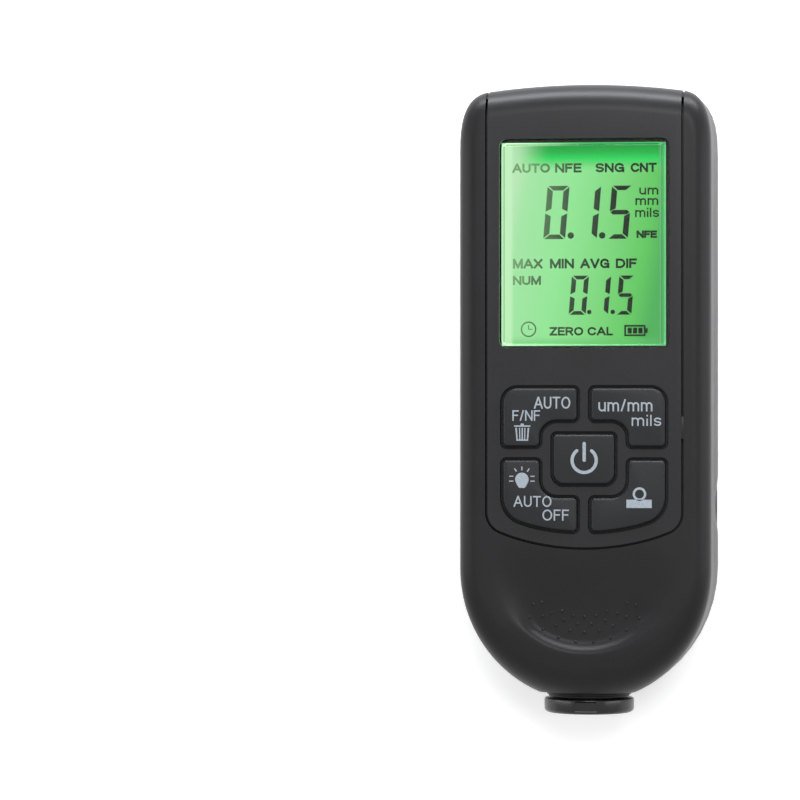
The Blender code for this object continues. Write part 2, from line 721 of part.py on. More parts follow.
def scoop_cutter():
    """The air in the thumb scoop, by rings about the scoop's centre."""
    rings = []
    for lean in quarter(SCOOP_RINGS)[1:]:
        radius = SCOOP_RADIUS * math.sin(lean)
        ring = []
        for index in range(SCOOP_SIDES):
            turn = 2 * math.pi * index / SCOOP_SIDES
            x = radius * math.cos(turn)
            y = SCOOP_CENTRE_Y + radius * math.sin(turn)
            ring.append((x, y, THICKNESS + SCOOP_SKIM - scoop_depth(x, y)))
        rings.append(ring)
    rings.append([(x, y, THICKNESS + OVERRUN) for x, y, _ in rings[-1]])
    return loft(rings)


def grip_cutter(side):
    """A shallow finger recess in one side of the rear housing."""
    surface = side * (HALF_WIDTH + REAR_BULGE)
    radius = (GRIP_LENGTH**2 / 4 + GRIP_DEPTH**2) / (2 * GRIP_DEPTH)
    outline = []
    for step in range(GRIP_STEPS + 1):
        y = GRIP_LENGTH * (step / GRIP_STEPS - 0.5)
        inward = math.sqrt(radius**2 - y**2) - radius + GRIP_DEPTH
        outline.append(Vector((surface - side * inward, GRIP_CENTRE_Y + y)))
    outline.append(Vector((surface + side * OVERRUN, outline[-1].y)))
    outline.append(Vector((surface + side * OVERRUN, outline[0].y)))
    return prism(outline, GRIP_FOOT_Z, REAR_RIM_Z + OVERRUN)


def neck_form():
    """The stepped neck between the case and the probe's ring."""
    shoulder = NECK_END_Y + (NECK_STEP_COUNT + 1) * NECK_STEP_LENGTH
    stations = [(NECK_ROOT_Y, NECK_RADIUS), (shoulder, NECK_RADIUS)]
    for step in reversed(range(NECK_STEP_COUNT)):
        radius = NECK_RADIUS + step * NECK_STEP
        if step < NECK_STEP_COUNT - 1:
            stations.append((NECK_END_Y + (step + 1) * NECK_STEP_LENGTH, radius))
        else:
            stations.append((shoulder, radius))
        stations.append((NECK_END_Y + step * NECK_STEP_LENGTH, radius))
    return turned(stations, centre=(0.0, PROBE_Z))


def probe_collar():
    start = RING_FACE_Y + SPIGOT_COLLAR_START
    return start, start + SPIGOT_COLLAR_LENGTH


def neck_bore():
    """Bore for the probe's spigot, with a groove that holds its collar."""
    start, end = probe_collar()
    return turned(
        (
            (NECK_END_Y - OVERRUN, NECK_BORE_RADIUS),
            (start - FIT_GAP, NECK_BORE_RADIUS),
            (start - FIT_GAP, NECK_GROOVE_RADIUS),
            (end + FIT_GAP, NECK_GROOVE_RADIUS),
            (end + FIT_GAP, NECK_BORE_RADIUS),
            (NECK_ROOT_Y + OVERRUN, NECK_BORE_RADIUS),
        ),
        centre=(0.0, PROBE_Z),
    )


def display_sizes():
    """Half-width, foot and top of the display glass."""
    return VIEW_WIDTH / 2 + GLASS_MARGIN, VIEW_FOOT_Y - GLASS_MARGIN, VIEW_TOP_Y + GLASS_MARGIN


def frame_margin():
    return FIT_GAP + FRAME_WALL


def screw_places():
    """Where the four housing screws stand, in the order of their numbers."""
    top = display_sizes()[2] + frame_margin() + FIT_GAP + FRONT_BOSS_RADIUS
    return (
        (-TOP_SCREW_X, top),
        (TOP_SCREW_X, top),
        (-LOW_SCREW_X, LOW_SCREW_Y),
        (LOW_SCREW_X, LOW_SCREW_Y),
    )


def build_tools():
    """The hidden shapes that more than one piece is cut with."""
    neck_foot = NECK_END_Y + NECK_STEP_COUNT * NECK_STEP_LENGTH
    end = block(-BEYOND, BEYOND, -BEYOND, neck_foot, -OVERRUN, THICKNESS + OVERRUN)
    block_profile = ((NECK_END_Y - OVERRUN, NECK_BLOCK_RADIUS), (NECK_ROOT_Y, NECK_BLOCK_RADIUS))
    return {
        "neck": tool("neck_form", neck_form()),
        "neck_bore": tool("cut_neck_bore", neck_bore()),
        "neck_block": tool("neck_block", turned(block_profile, centre=(0.0, PROBE_Z))),
        "probe_end": tool("cut_probe_end", end),
        "rear_form": tool("rear_form", rear_form()),
    }


def build_front_housing(tools, material):
    """The front half of the case, with a shelf under the face panel."""
    lip_foot = FRONT_RIM_Z - LIP_HEIGHT
    housing = piece("front_housing", front_form(lip_foot), material)
    walls = (SIDE_WALL, FACE_WALL, END_WALL)
    core = tool("front_core", front_core(walls, FACE_WALL, INNER_EDGE_STEPS))
    cut(core, tools["neck_block"])
    above = THICKNESS + OVERRUN
    for number, (x, y) in enumerate(screw_places(), 1):
        boss = disc(x, y, FRONT_BOSS_RADIUS, lip_foot - 2 * OVERRUN, above, HIDDEN_SIDES)
        cut(core, tool(f"front_boss_{number}", boss))
    for side in (-1, 1):
        post = disc(side * POST_X, POST_Y, POST_RADIUS, STACK_Z, above, HIDDEN_SIDES)
        cut(core, tool(f"post_{side}", post))
    cut(housing, tools["probe_end"])
    add(housing, tools["neck"])
    cut(housing, core, build_lip_cutter(lip_foot))
    depth = PANEL_THICKNESS + FIT_GAP
    recess = tool(
        "cut_panel_recess", prism(grown(panel_outline(), GROOVE_WIDTH), FRONT_RIM_Z - FIT_GAP, above)
    )
    cut(recess, tool("panel_bed", front_core((depth,) * 3, depth, PANEL_EDGE_STEPS)))
    cut(housing, recess)
    pane = centred(*pane_size(FIT_GAP), WINDOW_CORNER_RADIUS)
    cut(housing, tool("cut_pane_seat", prism(pane, CEILING_Z - OVERRUN, above)))
    cut(housing, tool("cut_key_field", prism(key_field_outline(), CEILING_Z - OVERRUN, above)))
    cut(housing, tool("cut_scoop", scoop_cutter()))
    cut(housing, tools["neck_bore"])
    for number, (x, y) in enumerate(screw_places(), 1):
        top = SCREW_SEAT_Z + SCREW_LENGTH + FIT_GAP
        pilot = disc(x, y, SCREW_RADIUS + FIT_GAP, lip_foot - OVERRUN, top, HIDDEN_SIDES)
        cut(housing, tool(f"cut_front_pilot_{number}", pilot))
    for side in (-1, 1):
        low = STACK_Z - FIT_GAP
        high = BOARD_Z + BOARD_SCREW_LENGTH
        pilot = disc(side * POST_X, POST_Y, BOARD_SCREW_RADIUS + FIT_GAP, low, high, SCREW_SIDES)
        cut(housing, tool(f"cut_post_pilot_{side}", pilot))
    return merge_flats(housing)


def build_lip_cutter(lip_foot):
    """What is cleared below the front rim: all but the locating lip inside it."""
    below = block(-BEYOND, BEYOND, -BEYOND, BEYOND, -OVERRUN, FRONT_RIM_Z)
    cutter = tool("cut_below_rim", below)
    low = lip_foot - 3 * OVERRUN
    high = FRONT_RIM_Z + OVERRUN
    lip = tool("lip_plan", loft([level_ring((LIP_SETBACK,) * 3, z) for z in (low, high)]))
    reach = NECK_BLOCK_RADIUS + FIT_GAP
    relief = block(-reach, reach, -BEYOND, NECK_ROOT_Y + OVERRUN, low - OVERRUN, high + OVERRUN)
    cut(lip, tool("lip_gap_at_neck", relief))
    for number, (x, y) in enumerate(screw_places(), 1):
        room = disc(x, y, REAR_BOSS_RADIUS + FIT_GAP, low - OVERRUN, high + OVERRUN, HIDDEN_SIDES)
        cut(lip, tool(f"lip_gap_at_boss_{number}", room))
    return cut(cutter, lip)


def pane_size(margin=0.0):
    """Width, length and middle line of the display window's pane."""
    width = WINDOW_WIDTH + 2 * (WINDOW_PANE_MARGIN + margin)
    length = WINDOW_LENGTH + 2 * (WINDOW_PANE_MARGIN + margin)
    return width, length, WINDOW_CENTRE_Y


def key_field_outline():
    """The hole in the shelf that all five keys pass through, clear of their flanges."""
    room = KEY_FLANGE_WIDTH + FIT_GAP
    half = KEYPAD_HALF_WIDTH + room
    corners = bowed_foot(half, KEYPAD_ARC_RADIUS + room, LOWER_KEY_RADIUS, KEY_FIELD_STEPS)
    corners.append((half, KEYPAD_TOP_Y + room, LARGE_KEY_RADIUS))
    corners.append((-half, KEYPAD_TOP_Y + room, LARGE_KEY_RADIUS))
    return rounded(corners)


def build_face_panel(material):
    """The plate round the display and keys, which wraps over the top end to the seam."""
    panel = piece("face_panel", front_form(FRONT_RIM_Z), material)
    depth = PANEL_THICKNESS
    cut(panel, tool("panel_core", front_core((depth,) * 3, depth, PANEL_EDGE_STEPS)))
    keep(panel, tool("panel_plan", prism(panel_outline(), SEAM_Z - OVERRUN, THICKNESS + OVERRUN)))
    window = centred(WINDOW_WIDTH, WINDOW_LENGTH, WINDOW_CENTRE_Y, WINDOW_CORNER_RADIUS)
    cut(panel, tool("cut_window", prism(window, LEDGE_Z, THICKNESS + OVERRUN)))
    for name, opening, _ in key_layout():
        cut(panel, tool(f"cut_{name}", prism(opening, LEDGE_Z, THICKNESS + OVERRUN)))
    return merge_flats(panel)


def build_display(materials):
    """The window pane and, behind it, the frame with glass, light guide, lamps and contact strip."""
    pane = centred(*pane_size(), WINDOW_CORNER_RADIUS)
    piece("display_window", prism(pane, CEILING_Z, LEDGE_Z), materials["clear"])

    half, foot, top = display_sizes()
    glass = block(-half, half, foot, top, GLASS_Z, GLASS_TOP_Z)
    piece("lcd_glass", glass, materials["lcd"])

    margin = frame_margin()
    frame = piece(
        "display_frame",
        block(-half - margin, half + margin, foot - margin, top + margin, STACK_Z, FRAME_TOP_Z),
        materials["black"],
    )
    well = block(
        -half - FIT_GAP,
        half + FIT_GAP,
        foot - FIT_GAP,
        top + FIT_GAP,
        STACK_Z - OVERRUN,
        GLASS_TOP_Z + FIT_GAP,
    )
    view = block(-VIEW_WIDTH / 2, VIEW_WIDTH / 2, VIEW_FOOT_Y, VIEW_TOP_Y, GLASS_Z, THICKNESS)
    cut(frame, tool("cut_frame_well", well), tool("cut_frame_view", view))

    stack_top = GLASS_Z - FIT_GAP
    strip_top_y = foot + CONTACT_STRIP_WIDTH
    strip_half = half - CONTACT_STRIP_INSET
    strip = block(-strip_half, strip_half, foot, strip_top_y, STACK_Z, stack_top)
    piece("contact_strip", strip, materials["grey_rubber"])
    lamp_y = top - LED_LENGTH
    guide_half = half - LIGHT_GUIDE_MARGIN
    near = strip_top_y + FIT_GAP
    far = lamp_y - FIT_GAP
    guide = block(-guide_half, guide_half, near, far, STACK_Z, stack_top)
    piece("light_guide", guide, materials["diffuser"])
    for number, side in enumerate((-1, 1), 1):
        x = side * LED_SPACING / 2
        lamp = block(x - LED_WIDTH / 2, x + LED_WIDTH / 2, lamp_y, top, STACK_Z, STACK_Z + LED_LENGTH)
        piece(f"backlight_led_{number}", lamp, materials["lamp"])


def build_board(materials):
    """The circuit board, its two screws and the parts soldered to it."""
    corners = (
        (-BOARD_HALF_WIDTH, BOARD_FOOT_Y, BOARD_CORNER),
        (BOARD_HALF_WIDTH, BOARD_FOOT_Y, BOARD_CORNER),
        (BOARD_HALF_WIDTH, BOARD_TOP_Y, BOARD_CORNER),
        (-BOARD_HALF_WIDTH, BOARD_TOP_Y, BOARD_CORNER),
    )
    board = piece("circuit_board", prism(rounded(corners), BOARD_Z, BOARD_TOP_Z), materials["board"])
    underside = BOARD_Z - FIT_GAP
    for number, side in enumerate((-1, 1), 1):
        x = side * POST_X
        low = BOARD_Z - OVERRUN
        high = BOARD_TOP_Z + OVERRUN
        hole = disc(x, POST_Y, BOARD_SCREW_RADIUS + FIT_GAP, low, high, SCREW_SIDES)
        cut(board, tool(f"cut_board_hole_{number}", hole))
        profile = (
            (underside - BOARD_SCREW_HEAD_HEIGHT, BOARD_SCREW_HEAD_RADIUS),
            (underside, BOARD_SCREW_HEAD_RADIUS),
            (underside, BOARD_SCREW_RADIUS),
            (underside + BOARD_SCREW_LENGTH, BOARD_SCREW_RADIUS),
        )
        screw = turned(profile, centre=(x, POST_Y), upright=True, sides=SCREW_SIDES)
        piece(f"board_screw_{number}", screw, materials["steel"])
    chip_half = CHIP_SIDE / 2
    near = CHIP_Y - chip_half
    far = CHIP_Y + chip_half
    chip = block(-chip_half, chip_half, near, far, underside - CHIP_THICKNESS, underside)
    piece("microcontroller", chip, materials["black"])
    buzzer = disc(BUZZER_X, BUZZER_Y, BUZZER_RADIUS, underside - BUZZER_HEIGHT, underside)
    piece("buzzer", buzzer, materials["black"])
    socket = block(
        -SOCKET_WIDTH / 2,
        SOCKET_WIDTH / 2,
        SOCKET_Y - SOCKET_LENGTH / 2,
        SOCKET_Y + SOCKET_LENGTH / 2,
        STACK_Z,
        STACK_Z + SOCKET_HEIGHT,
    )
    piece("probe_socket", socket, materials["ivory"])


def build_keys(materials):
    """Five keys held behind the panel by their flanges, over one rubber mat with a dome for each."""
    half = KEYPAD_HALF_WIDTH + MAT_MARGIN
    near = arc_y(0.0, KEYPAD_ARC_RADIUS) - MAT_MARGIN
    far = KEYPAD_TOP_Y + MAT_MARGIN
    sheet = block(-half, half, near, far, STACK_Z, STACK_Z + MAT_THICKNESS)
    mat = piece("key_mat", sheet, materials["rubber"])
    flange_top = PANEL_UNDERSIDE_Z - FIT_GAP
    flange_foot = flange_top - KEY_FLANGE_THICKNESS
    key_top = THICKNESS + KEY_RISE
    for name, opening, spot in key_layout():
        dome = turned(
            (
                (STACK_Z + MAT_THICKNESS / 2, DOME_RADIUS),
                (STACK_Z + MAT_THICKNESS, DOME_RADIUS),
                (DOME_TOP_Z, PLUNGER_RADIUS),
            ),
            centre=spot,
            upright=True,
            sides=HIDDEN_SIDES,
        )
        add(mat, tool(f"dome_{name}", dome))
        cap = grown(opening, -KEY_GAP)
        flange = grown(opening, KEY_FLANGE_WIDTH)
        plunger = [spot + (point - spot).normalized() * PLUNGER_RADIUS for point in cap]
        shape = loft(
            [
                at_height(plunger, DOME_TOP_Z + FIT_GAP),
                at_height(plunger, flange_foot),
                at_height(flange, flange_foot),
                at_height(flange, flange_top),
                at_height(cap, flange_top),
                at_height(cap, key_top - KEY_EDGE),
                at_height(grown(cap, -KEY_EDGE), key_top),
            ]
        )
        set_origin(piece(name, shape, materials["key"]), spot.x, spot.y, flange_top)


def cover_slot():
    """The air round the battery cover and its rails, as a section drawn across the gauge."""
    half = COVER_HALF_WIDTH + FIT_GAP
    rail = COVER_RAIL_HALF_WIDTH + FIT_GAP
    section = (
        (-half, -OVERRUN),
        (half, -OVERRUN),
        (half, COVER_LIP),
        (rail, COVER_LIP),
        (rail, COVER_SLOT_Z),
        (-rail, COVER_SLOT_Z),
        (-rail, COVER_LIP),
        (-half, COVER_LIP),
    )
    return along_y(section, NECK_END_Y - OVERRUN, COVER_TOP_Y + FIT_GAP)


def along_y(section, near, far):
    """A section of (x, z) points drawn out along the gauge."""
    return loft([[(x, y, z) for x, z in section] for y in (near, far)])


def along_x(section, left, right):
    """A section of (y, z) points drawn out across the gauge."""
    return loft([[(x, y, z) for y, z in section] for x in (left, right)])


def build_rear_housing(tools, material):
    """The back half of the case, with the battery bay, its cover's slot and the screw bosses."""
    housing = piece("rear_housing", rear_form(), material)
    core = tool("rear_core", rear_core())
    bay_half = BAY_HALF_WIDTH + BAY_WALL
    above = REAR_RIM_Z + 3 * OVERRUN
    bay = block(-bay_half, bay_half, BAY_FOOT_Y - BAY_WALL, BAY_TOP_Y + BAY_WALL, -OVERRUN, above)
    shelf_half = COVER_RAIL_HALF_WIDTH + FIT_GAP + COVER_SHELF
    shelf_top = COVER_SLOT_Z + COVER_SHELF
    shelf = block(
        -shelf_half, shelf_half, NECK_END_Y, COVER_TOP_Y + FIT_GAP + COVER_SHELF, -OVERRUN, shelf_top
    )
    cut(core, tools["neck_block"], tool("bay_walls", bay), tool("cover_shelf", shelf))
    for number, (x, y) in enumerate(screw_places(), 1):
        boss = disc(x, y, REAR_BOSS_RADIUS, -OVERRUN, above, HIDDEN_SIDES)
        cut(core, tool(f"rear_boss_{number}", boss))
    cut(housing, tools["probe_end"])
    add(housing, tools["neck"])
    rim = block(-BEYOND, BEYOND, -BEYOND, BEYOND, REAR_RIM_Z, THICKNESS + OVERRUN)
    cut(housing, core, tool("cut_above_rim", rim))
    inside = block(-BAY_HALF_WIDTH, BAY_HALF_WIDTH, BAY_FOOT_Y, BAY_TOP_Y, 0.0, BAY_ROOF_Z)
    cut(housing, tool("cut_bay", inside), tool("cut_cover_slot", cover_slot()))
    rail = COVER_RAIL_HALF_WIDTH + FIT_GAP
    flare = block(-rail, rail, NECK_END_Y - OVERRUN, COVER_FLARE_Y + FIT_GAP, -OVERRUN, COVER_SLOT_Z)
    cut(housing, tool("cut_cover_flare", flare), tools["neck_bore"])
    for side in (-1, 1):
        cut(housing, tool(f"cut_grip_{side}", grip_cutter(side)))
        x = side * CELL_SPACING / 2
        room = TAB_WIDTH / 2 + FIT_GAP
        slot = block(
            x - room,
            x + room,
            BAY_FOOT_Y,
            BAY_FOOT_Y + CONTACT_THICKNESS + 2 * FIT_GAP,
            CELL_Z,
            REAR_RIM_Z + OVERRUN,
        )
        cut(housing, tool(f"cut_tab_slot_{side}", slot))
    for number, (x, y) in enumerate(screw_places(), 1):
        bore = turned(
            (
                (-OVERRUN, SCREW_HEAD_RADIUS + FIT_GAP),
                (SCREW_SEAT_Z, SCREW_HEAD_RADIUS + FIT_GAP),
                (SCREW_SEAT_Z, SCREW_RADIUS + FIT_GAP),
                (SEAM_Z + OVERRUN, SCREW_RADIUS + FIT_GAP),
            ),
            centre=(x, y),
            upright=True,
            sides=HIDDEN_SIDES,
        )
        cut(housing, tool(f"cut_screw_{number}", bore))
    return merge_flats(housing)


def build_battery_cover(tools, material):
    """The cover that slides off towards the probe end, with a rail along each side and thumb ribs."""
    inner = COVER_HALF_WIDTH - COVER_RAIL_INSET
    rail = COVER_RAIL_HALF_WIDTH
    section = (
        (-rail, -OVERRUN),
        (rail, -OVERRUN),
        (rail, COVER_RAIL_TOP_Z),
        (inner, COVER_RAIL_TOP_Z),
        (inner, COVER_SKIN),
        (-inner, COVER_SKIN),
        (-inner, COVER_RAIL_TOP_Z),
        (-rail, COVER_RAIL_TOP_Z),
    )
    cover = piece("battery_cover", along_y(section, COVER_FOOT_Y, COVER_TOP_Y), material)
    keep(cover, tools["rear_form"], solver="MANIFOLD")
    beyond = COVER_TOP_Y + OVERRUN
    for side in (-1, 1):
        near_x, far_x = sorted((side * COVER_HALF_WIDTH, side * (rail + OVERRUN)))
        lip_room = block(near_x, far_x, COVER_FLARE_Y, beyond, -2 * OVERRUN, COVER_RAIL_Z)
        cut(cover, tool(f"cut_lip_room_{side}", lip_room))
    for index in range(THUMB_RIB_COUNT):
        y = THUMB_RIB_Y + (index - (THUMB_RIB_COUNT - 1) / 2) * THUMB_RIB_PITCH
        groove = block(
            -THUMB_RIB_HALF_LENGTH,
            THUMB_RIB_HALF_LENGTH,
            y - THUMB_RIB_WIDTH / 2,
            y + THUMB_RIB_WIDTH / 2,
            -OVERRUN,
            THUMB_RIB_DEPTH,
        )
        cut(cover, tool(f"cut_thumb_rib_{index + 1}", groove))
    return merge_flats(cover)


def contact_section(wall_y, direction):
    """A bowed spring strip standing off a bay wall, in (y, z) points."""
    low = CELL_Z - CONTACT_HEIGHT / 2
    back = []
    face = []
    for step in range(CONTACT_STEPS + 1):
        share = step / CONTACT_STEPS
        z = low + CONTACT_HEIGHT * share
        bow = CONTACT_BOW * math.sin(math.pi * share) ** 2
        back.append((wall_y + direction * (FIT_GAP + bow), z))
        face.append((wall_y + direction * (FIT_GAP + bow + CONTACT_THICKNESS), z))
    return back + face[::-1]


def build_cells(materials):
    """Two cells side by side, with the spring contacts at each end of their bay."""
    reach = (CELL_SPACING + CONTACT_WIDTH) / 2
    bridge = along_x(contact_section(BAY_TOP_Y, -1), -reach, reach)
    piece("battery_bridge_contact", bridge, materials["plated"])
    for name, side in (("battery_positive_contact", -1), ("battery_negative_contact", 1)):
        x = side * CELL_SPACING / 2
        strip = along_x(contact_section(BAY_FOOT_Y, 1), x - CONTACT_WIDTH / 2, x + CONTACT_WIDTH / 2)
        contact = piece(name, strip, materials["plated"])
        near = BAY_FOOT_Y + FIT_GAP + (CONTACT_THICKNESS - TAB_THICKNESS) / 2
        tab = block(
            x - TAB_WIDTH / 2,
            x + TAB_WIDTH / 2,
            near,
            near + TAB_THICKNESS,
            CELL_Z + CONTACT_HEIGHT / 2 - CONTACT_THICKNESS,
            BOARD_Z - FIT_GAP,
        )
        add(contact, tool(f"tab_{name}", tab), solver="MANIFOLD")
    edge = CELL_NUB_LENGTH / 2
    for number, side in enumerate((-1, 1), 1):
        direction = -side
        start = BAY_CENTRE_Y - direction * CELL_LENGTH / 2
        shoulder = CELL_LENGTH - CELL_NUB_LENGTH
        profile = (
            (0.0, CELL_RADIUS - edge),
            (edge, CELL_RADIUS),
            (shoulder - edge, CELL_RADIUS),
            (shoulder, CELL_RADIUS - edge),
            (shoulder, CELL_NUB_RADIUS),
            (CELL_LENGTH, CELL_NUB_RADIUS),
        )
        stations = [(start + direction * along, radius) for along, radius in profile]
        cell = turned(stations, centre=(side * CELL_SPACING / 2, CELL_Z), sides=HIDDEN_SIDES)
        piece(f"battery_{number}", cell, materials["cell"])


def build_screws(material):
    """Four cross-head screws, put in from the back."""
    for number, (x, y) in enumerate(screw_places(), 1):
        profile = (
            (SCREW_HEAD_Z - SCREW_HEAD_HEIGHT, SCREW_HEAD_RADIUS),
            (SCREW_HEAD_Z, SCREW_HEAD_RADIUS),
            (SCREW_HEAD_Z, SCREW_RADIUS),
            (SCREW_HEAD_Z + SCREW_LENGTH - SCREW_RADIUS, SCREW_RADIUS),
            (SCREW_HEAD_Z + SCREW_LENGTH, SCREW_RADIUS / 2),
        )
        body = turned(profile, centre=(x, y), upright=True, sides=SCREW_SIDES)
        screw = piece(f"housing_screw_{number}", body, material)
        long = SCREW_CROSS_LENGTH / 2
        short = SCREW_CROSS_WIDTH / 2
        low = SCREW_HEAD_Z - SCREW_HEAD_HEIGHT - OVERRUN
        high = SCREW_HEAD_Z - SCREW_HEAD_HEIGHT + SCREW_CROSS_DEPTH
        first = block(x - long, x + long, y - short, y + short, low, high)
        second = block(x - short, x + short, y - long, y + long, low, high)
        cut(screw, tool(f"cut_cross_a_{number}", first), tool(f"cut_cross_b_{number}", second))


def build_probe(materials):
    """The probe: a ring with its spigot, and the pin, bobbin and coil that a spring holds out."""
    face = RING_FACE_Y
    start, end = probe_collar()
    tail = face + SPIGOT_LENGTH
    hole = PIN_RADIUS + FIT_GAP
    wall = face + PROBE_END_WALL
    profile = (
        (face, hole),
        (face, RING_RADIUS - RING_BEVEL),
        (face + RING_BEVEL, RING_RADIUS),
        (face + RING_LENGTH - RING_BEVEL, RING_RADIUS),
        (face + RING_LENGTH, RING_RADIUS - RING_BEVEL),
        (face + RING_LENGTH, SPIGOT_RADIUS),
        (start, SPIGOT_RADIUS),
        (start, SPIGOT_COLLAR_RADIUS),
        (end, SPIGOT_COLLAR_RADIUS),
        (end, SPIGOT_RADIUS),
        (tail, SPIGOT_RADIUS),
        (tail, PROBE_BORE_RADIUS),
        (wall, PROBE_BORE_RADIUS),
        (wall, hole),
    )
    axis = (0.0, PROBE_Z)
    ring = piece("probe_ring", turned(profile, closed=True, centre=axis), materials["gloss"])
    spread = math.asin(RING_PAD_WIDTH / 2 / RING_RADIUS)
    arc = [spread * step / 2 for step in (-2, -1, 0, 1, 2)]
    outer = RING_RADIUS + RING_PAD_RISE
    root = RING_RADIUS - RING_BEVEL - FIT_GAP
    section = [(outer * math.sin(turn), PROBE_Z + outer * math.cos(turn)) for turn in arc]
    section += [(root * math.sin(turn), PROBE_Z + root * math.cos(turn)) for turn in reversed(arc)]
    pad = along_y(section, face + RING_BEVEL, face + RING_LENGTH - RING_BEVEL / 2)
    add(ring, tool("ring_pad", pad))
    slope = RING_NOTCH_HALF_WIDTH / RING_NOTCH_DEPTH
    notch_half = slope * (RING_NOTCH_DEPTH + OVERRUN)
    notch = (
        (face - OVERRUN, PROBE_Z - notch_half),
        (face - OVERRUN, PROBE_Z + notch_half),
        (face + RING_NOTCH_DEPTH, PROBE_Z),
    )
    reach = RING_RADIUS + OVERRUN
    cut(ring, tool("cut_ring_notch", along_x(notch, -reach, reach)))

    near = wall + FIT_GAP
    far = near + BOBBIN_LENGTH
    rim = PROBE_BORE_RADIUS - FIT_GAP
    bobbin = (
        (near, hole),
        (near, rim),
        (near + BOBBIN_FLANGE, rim),
        (near + BOBBIN_FLANGE, BOBBIN_DRUM_RADIUS),
        (far - BOBBIN_FLANGE, BOBBIN_DRUM_RADIUS),
        (far - BOBBIN_FLANGE, rim),
        (far, rim),
        (far, hole),
    )
    bobbin_body = turned(bobbin, closed=True, centre=axis, sides=HIDDEN_SIDES)
    piece("probe_bobbin", bobbin_body, materials["ivory"])
    wound_near = near + BOBBIN_FLANGE + FIT_GAP
    wound_far = far - BOBBIN_FLANGE - FIT_GAP
    inner = BOBBIN_DRUM_RADIUS + FIT_GAP
    coil = (
        (wound_near, inner),
        (wound_near, inner + COIL_THICKNESS),
        (wound_far, inner + COIL_THICKNESS),
        (wound_far, inner),
    )
    winding = turned(coil, closed=True, centre=axis, sides=HIDDEN_SIDES)
    piece("probe_coil", winding, materials["copper"])
    pin = []
    for lean in quarter(NOSE_STEPS):
        along = PROBE_TIP_Y + PIN_NOSE_LENGTH * (1 - math.cos(lean))
        pin.append((along, PIN_TIP_RADIUS + (PIN_RADIUS - PIN_TIP_RADIUS) * math.sin(lean)))
    pin.append((far, PIN_RADIUS))
    piece("probe_pin", turned(pin, centre=axis, sides=HIDDEN_SIDES), materials["steel"])
    retainer_far = tail - FIT_GAP
    retainer_near = retainer_far - RETAINER_THICKNESS
    retainer = (
        (retainer_near, RETAINER_HOLE_RADIUS),
        (retainer_near, rim),
        (retainer_far, rim),
        (retainer_far, RETAINER_HOLE_RADIUS),
    )
    retainer_body = turned(retainer, closed=True, centre=axis, sides=HIDDEN_SIDES)
    piece("probe_retainer", retainer_body, materials["ivory"])
    piece("probe_spring", helix(far + FIT_GAP, retainer_near - FIT_GAP), materials["steel"])
    build_lead(tail, materials["lead"])


def helix(near, far):
    """A coiled wire along the probe's axis."""
    low = near + SPRING_WIRE_RADIUS
    high = far - SPRING_WIRE_RADIUS
    steps = SPRING_TURNS * SPRING_STEPS
    rings = []
    for step in range(steps + 1):
        turn = 2 * math.pi * step / SPRING_STEPS
        along = low + (high - low) * step / steps
        ring = []
        for index in range(SPRING_WIRE_SIDES):
            round_wire = 2 * math.pi * index / SPRING_WIRE_SIDES
            radius = SPRING_RADIUS + SPRING_WIRE_RADIUS * math.cos(round_wire)
            y = along + SPRING_WIRE_RADIUS * math.sin(round_wire)
            ring.append((radius * math.cos(turn), y, PROBE_Z + radius * math.sin(turn)))
        rings.append(ring)
    return loft(rings)


def build_lead(tail, material):
    """The probe's lead, from the back of the spigot over the board's edge to its socket."""
    socket_y = SOCKET_Y - SOCKET_LENGTH / 2
    level = STACK_Z + SOCKET_HEIGHT / 2
    start = Vector((tail + FIT_GAP, PROBE_Z))
    end = Vector((socket_y - FIT_GAP, level))
    run, climb = end - start
    rings = []
    for step in range(LEAD_STEPS + 1):
        share = step / LEAD_STEPS
        along = start.x + run * share
        rise = start.y + climb * share**2 * (3 - 2 * share)
        lean = math.atan(climb * 6 * share * (1 - share) / run)
        ring = []
        for index in range(LEAD_SIDES):
            turn = 2 * math.pi * index / LEAD_SIDES
            aside = LEAD_RADIUS * math.cos(turn)
            up = LEAD_RADIUS * math.sin(turn)
            ring.append((aside, along - up * math.sin(lean), rise + up * math.cos(lean)))
        rings.append(ring)
    piece("probe_lead", loft(rings), material)


def build_materials():
    return {
        "case": finish("case_plastic", (0.036, 0.034, 0.037), 0.42),
        "panel": finish("panel_plastic", (0.047, 0.047, 0.050), 0.38),
        "key": finish("key_plastic", (0.052, 0.058, 0.064), 0.45),
        "gloss": finish("ring_plastic", (0.012, 0.012, 0.013), 0.12),
        "black": finish("black_plastic", (0.015, 0.015, 0.016), 0.5),
        "clear": finish("clear_acrylic", (0.90, 0.95, 0.92), 0.04, transmission=1.0),
        "lcd": finish("lcd_green", (0.24, 0.80, 0.28), 0.2),
        "diffuser": finish("white_diffuser", (0.85, 0.88, 0.85), 0.4),
        "lamp": finish("lamp_epoxy", (0.85, 0.80, 0.45), 0.3),
        "board": finish("board_green", (0.02, 0.16, 0.06), 0.4),
        "rubber": finish("mat_silicone", (0.30, 0.30, 0.31), 0.6),
        "grey_rubber": finish("strip_rubber", (0.10, 0.10, 0.10), 0.7),
        "ivory": finish("ivory_nylon", (0.75, 0.72, 0.62), 0.5),
        "steel": finish("steel", (0.55, 0.55, 0.56), 0.3, metallic=1.0),
        "plated": finish("nickel_plate", (0.66, 0.64, 0.60), 0.25, metallic=1.0),
        "copper": finish("copper_wire", (0.72, 0.32, 0.16), 0.35, metallic=1.0),
        "cell": finish("cell_jacket", (0.20, 0.22, 0.25), 0.35, metallic=0.3),
        "lead": finish("lead_jacket", (0.04, 0.04, 0.04), 0.5),
    }


